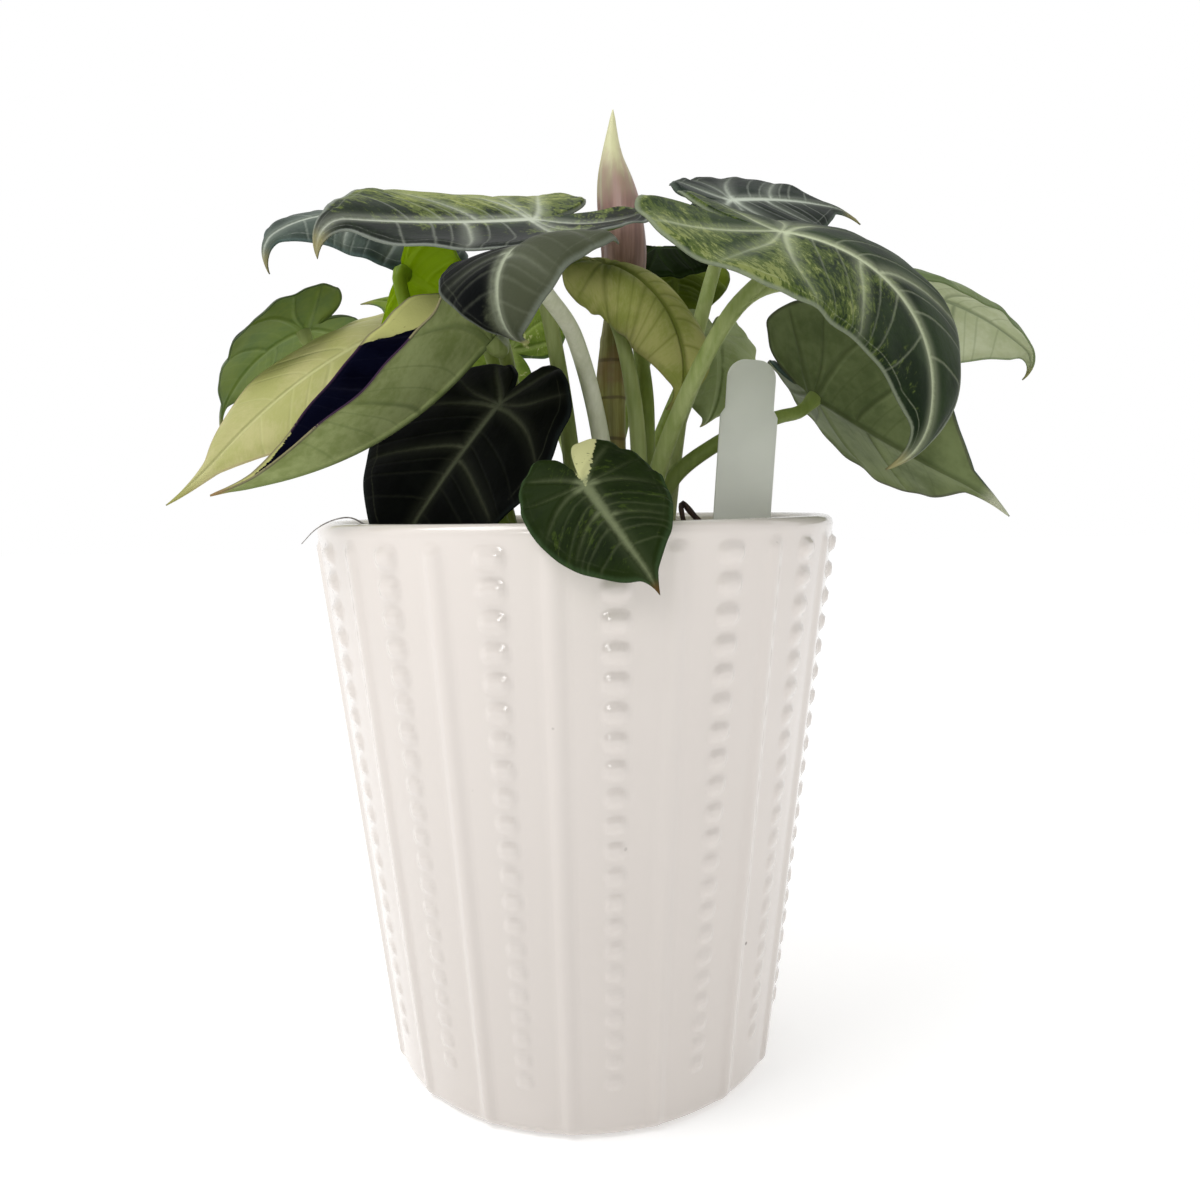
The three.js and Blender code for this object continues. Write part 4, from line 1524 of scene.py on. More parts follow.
    def _raise(self, piece: Piece) -> None:
        """Raises the beads and the ribs out of the wall.

        Args:
            piece: the smooth pot, with the share of the relief as an attribute.
        """
        recipe = Recipe("Pot relief")
        x, y, z = (part / MM for part in recipe.split(recipe.place()))
        turn = arc(x, 0 - y) / math.radians(360 / self.columns) - self.first_turn * self.columns / 360
        span = 2 * math.pi / self.columns * self.rim_radius
        across = size(fraction(turn + 0.5) - 0.5) * span
        out = (self._bead(recipe, across, z) + self._rib(recipe, span / 2 - across, z))
        out = out * recipe.attribute("raised")
        radius = most(root(x * x + y * y), 1.0)
        offset = recipe.point(x / radius * out * MM, y / radius * out * MM)
        recipe.run(piece, recipe.moved(recipe.own, offset), self.glaze.material())

    def _bead(self, recipe: Recipe, across: Value, z: Value) -> Value:
        """How far the nearest bead stands out.

        Args:
            recipe: the tree.
            across: millimetres from the middle of the nearest column.
            z: height in millimetres.

        Returns:
            Millimetres.
        """
        half_width = recipe.size("Bead half width", self.bead_half_width)
        half_height = recipe.size("Bead half height", self.bead_half_height)
        proud = recipe.size("Bead proud", self.bead_proud)
        shrink = 1 - self.bead_pitch / self.rim_radius * (self.rim_radius - self.foot_radius) / self.height
        first = self.radius(self.height - self.top_bead_below_rim)
        index = natural_log(self.radius(z) / first) / math.log(shrink)
        up = size(fraction(index + 0.5) - 0.5) * self.bead_pitch
        high = z / self.height
        sideways = across / half_width / (self.foot_bead_width + self.bead_width_growth * high * high)
        ring = sideways ** self.bead_square + (up / half_height) ** self.bead_square
        ring = ring ** (1 / self.bead_square)
        grown = self.foot_bead_proud + self.bead_proud_growth * high * high
        bead = (1 - even_step(ring, *self.bead_edge)) * grown * proud
        bead = bead * even_step(index, -0.6, -0.5)
        return bead * (1 - even_step(index, self.beads - 0.5, self.beads - 0.4))

    def _rib(self, recipe: Recipe, away: Value, z: Value) -> Value:
        """How far the nearest rib stands out.

        Args:
            recipe: the tree.
            away: millimetres from the rib's middle.
            z: height in millimetres.

        Returns:
            Millimetres.
        """
        half_width = recipe.size("Rib half width", self.rib_half_width)
        proud = recipe.size("Rib proud", self.rib_proud)
        start, end = (self.height - below for below in self.rib_end_below_rim)
        return (1 - even_step(away / half_width, *self.rib_edge)) * proud * (1 - even_step(z, start, end))


@dataclass(frozen=True)
class Crumbly:
    """A matte finish in two tones with a fine grain, which gives the tones where tone_scale is 0."""

    name: str
    first: Rgb
    second: Rgb
    tone_scale: float = 0.0
    tone_detail: float = 2.0
    tone_rough: float = 0.5
    tone_edge: Pair = (0.35, 0.65)
    grain_scale: float = 1300.0
    grain_detail: float = 2.0
    depth: float = 0.3
    rough: float = 0.9

    def material(self) -> Material:
        """Makes the material.

        Returns:
            The material.
        """
        shader = Shader(self.name)
        grain = shader.noise(shader.object_place, self.grain_scale, self.grain_detail, 0.6)
        tone = grain
        if self.tone_scale > 0:
            tone = shader.noise(shader.object_place, self.tone_scale, self.tone_detail, self.tone_rough)
            tone = even_step(tone, *self.tone_edge)
        colour = shader.blend(tone, self.first, self.second)
        return shader.finish(colour, self.rough, shader.bump(grain, self.depth))


PEAT = Crumbly("Peat", (34, 25, 19), (62, 46, 34), tone_scale=260.0, tone_detail=4.0, tone_rough=0.65,
               tone_edge=(0.3, 0.7), grain_scale=1200.0, grain_detail=3.0, depth=0.5)
BARK = Crumbly("Bark_chips", (48, 33, 24), (98, 70, 50), tone_scale=210.0, grain_scale=1500.0,
               rough=0.85)
PERLITE = Crumbly("Perlite_grains", (205, 200, 190), (172, 163, 150))


@dataclass
class Soil:
    """Loose dark potting mix with bark crumbs and a little perlite on its top."""

    height: float = 126.5
    radius: float = 62.4
    foot_radius: float = 48.6
    floor: float = 6.3
    around: int = 120
    rings: int = 40
    bump: float = 1.4
    rough: float = 1.6
    coarse_scale: float = 160.0
    fine_scale: float = 480.0
    fine_strength: float = 0.6
    crumbs: float = 900
    crumb_size: float = 1.9
    crumb_seed: int = 3
    perlite: float = 45
    perlite_size: float = 1.3
    perlite_seed: int = 11
    least_grain: Point = (0.35, 0.3, 0.2)
    largest_grain: Point = (1.3, 1.0, 0.7)
    grain_scale: float = 700.0
    steepest: float = 0.2

    def build(self) -> None:
        """Makes the bed, its crumbs and its perlite, and fixes them to the plant."""
        bed = self._bed()
        top = self._top_alone(bed)
        crumbs = self._scatter("Soil_crumbs", top, self.crumbs, self.crumb_size, self.crumb_seed, BARK)
        perlite = self._scatter("Perlite", top, self.perlite, self.perlite_size, self.perlite_seed,
                                PERLITE)
        bpy.data.meshes.remove(top)
        keep(bed, Slot.SOIL, "soil")
        keep(crumbs, Slot.SOIL)
        keep(perlite, Slot.SOIL)

    def _bed(self) -> Piece:
        """A closed plug with an uneven, crumbly top.

        Returns:
            The bed.
        """
        count, rings = self.around, self.rings
        turns = 2 * np.pi * np.arange(count) / count
        circle = np.stack([np.cos(turns), np.sin(turns)], axis=1)
        circles = (circle * self.radius * k / rings for k in range(1, rings + 1))
        flat = np.vstack([np.zeros((1, 2)), *circles])
        height = self.height + self.bump * np.sin(flat[:, 0] * 0.23) * np.cos(flat[:, 1] * 0.19 + 1)
        top = np.column_stack([flat, height])
        foot = np.column_stack([circle * self.foot_radius, np.full(count, self.floor)])
        places = np.vstack([top, foot, [[0, 0, self.floor]]])
        faces = [[0, 1 + k, 1 + (k + 1) % count] for k in range(count)]
        faces += [[near, far, far_after, after]
                  for near, after, far_after, far in ring_faces(rings + 1, count, 1)]
        last = len(places) - 1
        faces += [[last, last - count + (k + 1) % count, last - count + k] for k in range(count)]
        piece = new_piece("Soil_bed", places, faces)
        mark(piece.data, "loose", np.concatenate([np.ones(len(top) - count), np.zeros(2 * count + 1)]))
        self._roughen(piece)
        piece.data.shade_smooth()
        return piece

    def _roughen(self, bed: Piece) -> None:
        """Raises coarse and fine lumps on the bed's top.

        Args:
            bed: the smooth bed, with the share of the lumps as an attribute.
        """
        recipe = Recipe("Soil bed")
        depth = recipe.size("Roughness", self.rough)
        place = recipe.place()
        coarse = recipe.noise(place, self.coarse_scale, 2, 0.6)
        fine = recipe.noise(place, self.fine_scale, 2, 0.6)
        middle = (1 + self.fine_strength) / 2
        lift = (coarse + fine * self.fine_strength - middle) * depth * 2 * recipe.attribute("loose") * MM
        recipe.run(bed, recipe.moved(recipe.own, recipe.point(0.0, 0.0, lift)), PEAT.material())

    def _top_alone(self, bed: Piece) -> Mesh:
        """The bed's upward faces, as a mesh to scatter on.

        Args:
            bed: the bed.

        Returns:
            The mesh.
        """
        work = bmesh.new()
        work.from_mesh(bed.data)
        low = [face for face in work.faces if face.normal.z < self.steepest]
        bmesh.ops.delete(work, geom=low, context="FACES")
        top = bpy.data.meshes.new("Soil top")
        work.to_mesh(top)
        work.free()
        return top

    def _scatter(self, name: str, top: Mesh, count: float, grain: float, seed: int,
                 finish: Crumbly) -> Piece:
        """Scatters broken grains on the soil.

        Args:
            name: the piece's name.
            top: what they lie on.
            count: how many.
            grain: their usual radius.
            seed: of their places and sizes.
            finish: what they are made of.

        Returns:
            The grains as one piece.
        """
        piece = add_object(name, top.copy())
        recipe = Recipe(name)
        amount, radius = recipe.size("Count", count), recipe.size("Grain radius", grain)
        density = amount / (math.pi * (self.radius * MM) ** 2)
        sockets = {0: recipe.own, "Density": density, "Seed": seed}
        settings = {"distribute_method": "RANDOM"}
        points = recipe.node("GeometryNodeDistributePointsOnFaces", settings, sockets)
        ball = recipe.node("GeometryNodeMeshIcoSphere", None, {"Radius": 1.0, "Subdivisions": 2})
        turn = recipe.random_vector((0.0, 0.0, 0.0), (FULL_TURN, FULL_TURN, FULL_TURN), seed + 1)
        scale = recipe.random_vector(self.least_grain, self.largest_grain, seed + 2)
        sockets = {0: points.outputs[0], "Instance": ball.outputs[0], "Rotation": turn,
                   "Scale": recipe.scaled(scale, radius * MM)}
        grains = recipe.node("GeometryNodeInstanceOnPoints", None, sockets).outputs[0]
        loose = recipe.node("GeometryNodeRealizeInstances", None, {0: grains}).outputs[0]
        sockets = {"Vector": recipe.place(), "Scale": self.grain_scale, "Detail": 1.0}
        bumpy = recipe.node("ShaderNodeTexNoise", None, sockets).outputs["Color"]
        sockets = {0: bumpy, 1: (0.5, 0.5, 0.5)}
        centred = recipe.node("ShaderNodeVectorMath", {"operation": "SUBTRACT"}, sockets).outputs[0]
        broken = recipe.moved(loose, recipe.scaled(centred, radius * MM))
        recipe.run(piece, broken, finish.material())
        piece.data.shade_flat()
        return piece


@dataclass(frozen=True)
class StalkSkin:
    """Brownish olive with long streaks, browner clouds and narrow dark rings."""

    light: Rgb = (150, 146, 84)
    dark: Rgb = (118, 112, 48)
    brown: Rgb = (122, 88, 52)
    ring: Rgb = (84, 66, 28)
    ring_gap: float = 11.0

    def material(self) -> Material:
        """Makes the material.

        Returns:
            The material.
        """
        shader = Shader("Flower_stalk")
        _, _, z = shader.split(shader.object_place)
        streak, band = shader.streaks(700.0, 40.0), shader.streaks(60.0, 90.0)
        colour = shader.blend(even_step(streak, 0.35, 0.65), self.light, self.dark)
        colour = shader.blend(even_step(band, 0.48, 0.66) * 0.6, colour, self.brown)
        away = size(fraction(z / (self.ring_gap * MM) + (band - 0.5) * 0.2) - 0.5)
        ring = (1 - even_step(away, 0.02, 0.06)) * 0.7
        colour = shader.blend(ring, colour, self.ring)
        return shader.finish(colour, 0.5, shader.bump(streak, 0.15))


@dataclass(frozen=True)
class Hood:
    """Dusty pink, cream towards the pointed tip, with fine lengthwise veins."""

    light: Rgb = (152, 122, 112)
    dark: Rgb = (114, 88, 82)
    tip: Rgb = (205, 205, 160)
    foot: Rgb = (150, 120, 105)
    light_through: Rgb = (220, 190, 150)
    tip_heights: Pair = (234.0, 253.0)
    foot_heights: Pair = (207.0, 216.0)

    def material(self) -> Material:
        """Makes the material.

        Returns:
            The material.
        """
        shader = Shader("Spathe")
        _, _, z = shader.split(shader.object_place)
        streak = shader.streaks(520.0, 22.0, detail=4)
        cloud = shader.noise(shader.object_place, 90.0, 2, 0.5)
        colour = shader.blend(even_step(streak, 0.35, 0.65), self.light, self.dark)
        height = z / MM + (cloud - 0.5) * 14.0 + (streak - 0.5) * 20.0
        colour = shader.blend(even_step(height, *self.tip_heights), colour, self.tip)
        low = (1 - even_step(z / MM, *self.foot_heights)) * 0.6
        colour = shader.blend(low, colour, self.foot)
        return shader.finish(colour, 0.42, shader.bump(streak, 0.2),
                             glow=self.light_through, through=0.15)


@dataclass
class Flower:
    """The closed spathe on its stout banded stalk."""

    foot: Pair = (9.0, 9.0)
    soil_height: float = 126.5
    stalk_route: tuple[Point, ...] = (
        (10, 9, 165), (10.5, 9, 186), (12.7, 8.5, 205), (13.2, 8.1, 208.5),
    )
    stalk_radius: float = 4.7
    stalk_top_radius: float = 3.6
    stalk_sides: int = 40
    rings: float = 6.0
    first_ring: float = 0.2
    ring_proud: float = 0.22
    ring_width: float = 0.06
    spathe_route: tuple[Point, ...] = (
        (13.2, 8, 207), (14.9, 8, 220), (13.8, 7, 232.5), (11.8, 6, 246.5), (12.1, 6, 259.5),
    )
    spathe_radii: tuple[float, ...] = (4, 5.5, 6.1, 6.2, 6.1, 5.7, 4.6, 2.7, 1.4, 0.3)
    spathe_sides: int = 64
    spathe_seam: float = 0.13
    tip_radius: float = 0.15
    tip_steps: int = 4
    smoothing: int = 4
    steps: int = 90
    skin: StalkSkin = StalkSkin()
    hood: Hood = Hood()

    def build(self) -> None:
        """Makes the stalk and the spathe and fixes them to the plant."""
        places, faces = self._stalk()
        stalk = new_piece("Flower_stalk", places, faces, [self.skin.material()])
        keep(stalk, Slot.STALK, "flower_stalk")
        places, faces = self._spathe()
        spathe = new_piece("Spathe", places, faces, [self.hood.material()])
        keep(spathe, Slot.SPATHE, "spathe")

    def _stalk(self) -> tuple[Array, Faces]:
        """A tapered tube with low rings.

        Returns:
            The corners and the faces.
        """
        x, y = self.foot
        upright = [(x, y, self.soil_height - STEM_DEPTH), (x, y, self.soil_height)]
        line = stem_curve(np.array([*upright, *self.stalk_route], float), self.steps)
        part = np.linspace(0, 1, self.steps)
        radii = self.stalk_radius + (self.stalk_top_radius - self.stalk_radius) * part ** 3
        away = (fraction(part * self.rings + self.first_ring) - 0.5) / self.ring_width
        return tube(line, radii + self.ring_proud * np.exp(-away ** 2), self.stalk_sides)

    def _spathe(self) -> tuple[Array, Faces]:
        """A closed hood, lapped along one seam and drawn out to a point.

        Returns:
            The corners and the faces.
        """
        line = stem_curve(np.array(self.spathe_route, float), self.steps)
        part = np.linspace(0, 1, self.steps)
        radii = np.interp(part, np.linspace(0, 1, len(self.spathe_radii)), self.spathe_radii)
        window = 2 * self.smoothing + 1
        padded = np.pad(radii, self.smoothing, mode="edge")
        radii = np.convolve(padded, np.ones(window) / window, mode="valid")
        tip = np.linspace(radii[-self.tip_steps - 1], self.tip_radius, self.tip_steps + 1)
        radii[-self.tip_steps:] = tip[1:]
        return tube(line, radii, self.spathe_sides, seam=self.spathe_seam)


@dataclass(frozen=True)
class LabelPlastic:
    """Satin white plastic, a little soiled where it stands in the mix."""

    light: Rgb = (242, 244, 238)
    dark: Rgb = (232, 235, 229)
    dirt: Rgb = (120, 104, 86)
    light_through: Rgb = (244, 244, 236)
    dirt_heights: Pair = (128.0, 142.0)
    through: float = 0.45

    def material(self) -> Material:
        """Makes the material.

        Returns:
            The material.
        """
        shader = Shader("Label_plastic")
        _, _, z = shader.split(shader.object_place)
        smear = shader.noise(shader.object_place, 120.0, 4, 0.6)
        grain = shader.noise(shader.object_place, 900.0, 2, 0.5)
        clean = even_step(z / MM + (smear - 0.5) * 22.0, *self.dirt_heights)
        colour = shader.blend(smear, self.light, self.dark)
        colour = shader.blend((1 - clean) * 0.5, colour, self.dirt)
        return shader.finish(colour, 0.38 + 0.1 * smear,
                             shader.bump(grain, 0.05), glow=self.light_through,
                             through=self.through)


@dataclass
class Label:
    """The bare white plant label, with shoulders and a round head."""

    foot: Point = (41.8, -9.0, 105.0)
    lean: float = 4.2
    turn: float = 6.0
    tall: float = 85.0
    width: float = 15.9
    head_width: float = 13.4
    shoulder: float = 72.0
    shoulder_slope: float = 2.0
    head_round: float = 5.0
    head_corners: int = 12
    point: float = 14.0
    thickness: float = 0.8
    edge_round: float = 0.16
    plastic: LabelPlastic = LabelPlastic()

    def build(self) -> None:
        """Cuts the label, rounds its edges and fixes it to the plant."""
        outline = self._outline()
        half = self.thickness / 2
        count = len(outline)
        places = np.array([(x, side, z) for side in (-half, half) for x, z in outline])
        faces = [list(range(count)), list(range(count, 2 * count))[::-1]]
        faces += [[(k + 1) % count, k, count + k, count + (k + 1) % count] for k in range(count)]
        piece = new_piece("Label", places, faces, [self.plastic.material()])
        bevel = piece.modifiers.new("Edge", "BEVEL")
        bevel.width, bevel.segments, bevel.limit_method = self.edge_round * MM, 2, "ANGLE"
        settle(piece, bevel)
        lean = Matrix.Rotation(math.radians(self.lean), 4, "Y")
        turn = Matrix.Rotation(math.radians(self.turn), 4, "Z")
        piece.data.transform(Matrix.Translation(Vector(self.foot) * MM) @ turn @ lean)
        keep(piece, Slot.LABEL, "label")

    def _outline(self) -> list[Pair]:
        """The label's outline, counter-clockwise seen from the front.

        Returns:
            How far to the right and how high each corner lies.
        """
        half, head, bend = self.width / 2, self.head_width / 2, self.head_round
        right = [(0.0, 0.0), (half, self.point), (half, self.shoulder - self.shoulder_slope),
                 (head, self.shoulder)]
        for angle in np.radians(np.linspace(0, 90, self.head_corners)):
            right.append((head - bend + bend * math.cos(angle), self.tall - bend + bend * math.sin(angle)))
        return right + [(-x, z) for x, z in reversed(right[1:])]


@dataclass(frozen=True)
class DrySkin:
    """A dry fibrous skin."""

    light: Rgb
    dark: Rgb

    def material(self, name: str) -> Material:
        """Makes the material.

        Args:
            name: the material's name.

        Returns:
            The material.
        """
        shader = Shader(name)
        streak = shader.streaks(1300.0, 200.0)
        colour = shader.blend(even_step(streak, 0.35, 0.65), self.light, self.dark)
        return shader.finish(colour, 0.75, shader.bump(streak, 0.3))


@dataclass
class Litter:
    """Dead brown leaf bases among the stems, and a dry fibre that hangs over the rim."""

    sheath_route: tuple[Point, ...] = (
        (29, -14, 116), (30, -14, 138), (28, -13.5, 152), (31, -13, 149), (36, -12, 143),
    )
    sheath_radius: float = 1.1
    sheath_flat: float = 1.6
    sheath_lumps: float = 0.18
    sheath_steps: int = 70
    fibre_route: tuple[Point, ...] = (
        (-49, -40, 147.5), (-52.5, -43.5, 149.9), (-55.5, -47.5, 149.6), (-58.5, -52.5, 147.6),
        (-60.5, -57, 144.6),
    )
    fibre_radius: float = 0.22
    fibre_steps: int = 40
    taper: float = 0.6
    sheath_skin: DrySkin = DrySkin((70, 48, 36), (36, 24, 20))
    fibre_skin: DrySkin = DrySkin((178, 174, 172), (120, 112, 108))

    def build(self) -> None:
        """Makes the sheath and the fibre and fixes them to the plant."""
        line = stem_curve(np.array(self.sheath_route, float), self.sheath_steps)
        part = np.linspace(0, 1, self.sheath_steps)
        lumps = 1 + self.sheath_lumps * np.sin(part * 47) * np.sin(part * 19)
        radii = self.sheath_radius * (1 - self.taper * part) * lumps
        places, faces = tube(line, radii, 16, self.sheath_flat)
        sheath = new_piece("Dried_sheath", places, faces, [self.sheath_skin.material("Dry_sheath")])
        keep(sheath, Slot.SHEATH, "dried_sheath")
        line = stem_curve(np.array(self.fibre_route, float), self.fibre_steps)
        radii = self.fibre_radius * (1 - self.taper * np.linspace(0, 1, self.fibre_steps))
        places, faces = tube(line, radii, 8)
        fibre = new_piece("Dried_fibre", places, faces, [self.fibre_skin.material("Dry_fibre")])
        keep(fibre, Slot.SHEATH)


@dataclass
class Studio:
    """A white floor, soft light from all round and the photograph's camera."""

    camera_place: Point = (0.0, -271.0, 153.0)
    yaw: float = -1.31
    pitch: float = 5.88
    roll: float = -0.96
    focal_pixels: float = 966.0
    frame_pixels: float = 1200.0
    sensor: float = 36.0
    floor_size: float = 6000.0
    floor_tones: tuple[Rgb, Rgb] = ((236, 236, 236), (233, 233, 233))
    floor_grain: float = 300.0
    floor_rough: float = 0.9
    floor_glow: float = 0.35
    sky: float = 1.0
    front_sky: float = 0.35
    front_edge: Pair = (0.0, 0.9)
    key_power: float = 6.0
    key_place: Point = (-500.0, -250.0, 1100.0)
    key_aim: Point = (0.0, 0.0, 150.0)
    key_size: float = 700.0
    fill_power: float = 5.0
    fill_place: Point = (-80.0, -430.0, 330.0)
    fill_aim: Point = (0.0, 0.0, 214.0)
    fill_cone: float = 36.0
    fill_radius: float = 120.0

    def build(self) -> None:
        """Sets the floor, the sky, both lamps and the camera."""
        self._floor()
        self._sky()
        self._key()
        self._fill()
        self._camera()
        bpy.context.scene.view_settings.view_transform = "Standard"

    def _floor(self) -> None:
        """A white sheet under the pot."""
        half = self.floor_size / 2
        corners = np.array([(-half, -half, 0), (half, -half, 0), (half, half, 0), (-half, half, 0)])
        shader = Shader("Paper_floor")
        grain = shader.noise(shader.object_place, self.floor_grain, 2, 0.5)
        surface = shader.node("ShaderNodeBsdfPrincipled", None, {
            "Base Color": shader.blend(grain, *self.floor_tones), "Roughness": self.floor_rough,
            "Specular IOR Level": 0.0, "Emission Color": display(255, 255, 255),
            "Emission Strength": self.floor_glow,
        })
        shader.node("ShaderNodeOutputMaterial", None, {"Surface": surface.outputs[0]})
        floor = new_piece("Floor", corners, [[0, 1, 2, 3]], [shader.material])

    def _sky(self) -> None:
        """White light from all round, dimmer from the camera's side."""
        world = bpy.data.worlds.new("Studio")
        world.use_nodes = True
        bpy.context.scene.world = world
        tree = Tree(world.node_tree)
        way = tree.node("ShaderNodeTexCoord").outputs["Generated"]
        _, y, _ = tree.split(way)
        strength = self.sky + (self.front_sky - self.sky) * even_step(0 - y, *self.front_edge)
        light = tree.node("ShaderNodeBackground", None, {"Color": (1, 1, 1, 1), "Strength": strength})
        tree.node("ShaderNodeOutputWorld", None, {"Surface": light.outputs[0]})

    def _hang(self, lamp: bpy.types.Light, place: Point, aim: Point) -> None:
        """Hangs a lamp and turns it towards a point.

        Args:
            lamp: the lamp.
            place: where it hangs, in millimetres.
            aim: the point.
        """
        holder = add_object(lamp.name, lamp)
        holder.location = Vector(place) * MM
        way = Vector(aim) * MM - holder.location
        holder.rotation_euler = way.to_track_quat("-Z", "Y").to_euler()

    def _key(self) -> None:
        """A large soft lamp above the left side."""
        lamp = bpy.data.lights.new("Key", "AREA")
        lamp.energy, lamp.size = self.key_power, self.key_size * MM
        self._hang(lamp, self.key_place, self.key_aim)

    def _fill(self) -> None:
        """A soft spot lamp beside the camera, aimed at the leaves above the pot."""
        lamp = bpy.data.lights.new("Fill", "SPOT")
        lamp.energy, lamp.shadow_soft_size = self.fill_power, self.fill_radius * MM
        lamp.spot_size, lamp.spot_blend = math.radians(self.fill_cone), 1.0
        self._hang(lamp, self.fill_place, self.fill_aim)

    def _camera(self) -> None:
        """The photograph's camera."""
        lens = bpy.data.cameras.new("Camera")
        lens.sensor_width = self.sensor
        lens.lens = self.sensor * self.focal_pixels / self.frame_pixels
        camera = add_object("Camera", lens)
        yaw, pitch, roll = (math.radians(angle) for angle in (self.yaw, self.pitch, self.roll))
        level = math.cos(pitch)
        ahead = Vector((-math.sin(yaw) * level, math.cos(yaw) * level, -math.sin(pitch)))
        aside = Vector((math.cos(yaw), math.sin(yaw), 0.0))
        above = aside.cross(ahead)
        right = aside * math.cos(roll) + above * math.sin(roll)
        up = above * math.cos(roll) - aside * math.sin(roll)
        turn = Matrix((right, up, -ahead)).transposed()
        camera.matrix_world = Matrix.Translation(Vector(self.camera_place) * MM) @ turn.to_4x4()
        bpy.context.scene.camera = camera


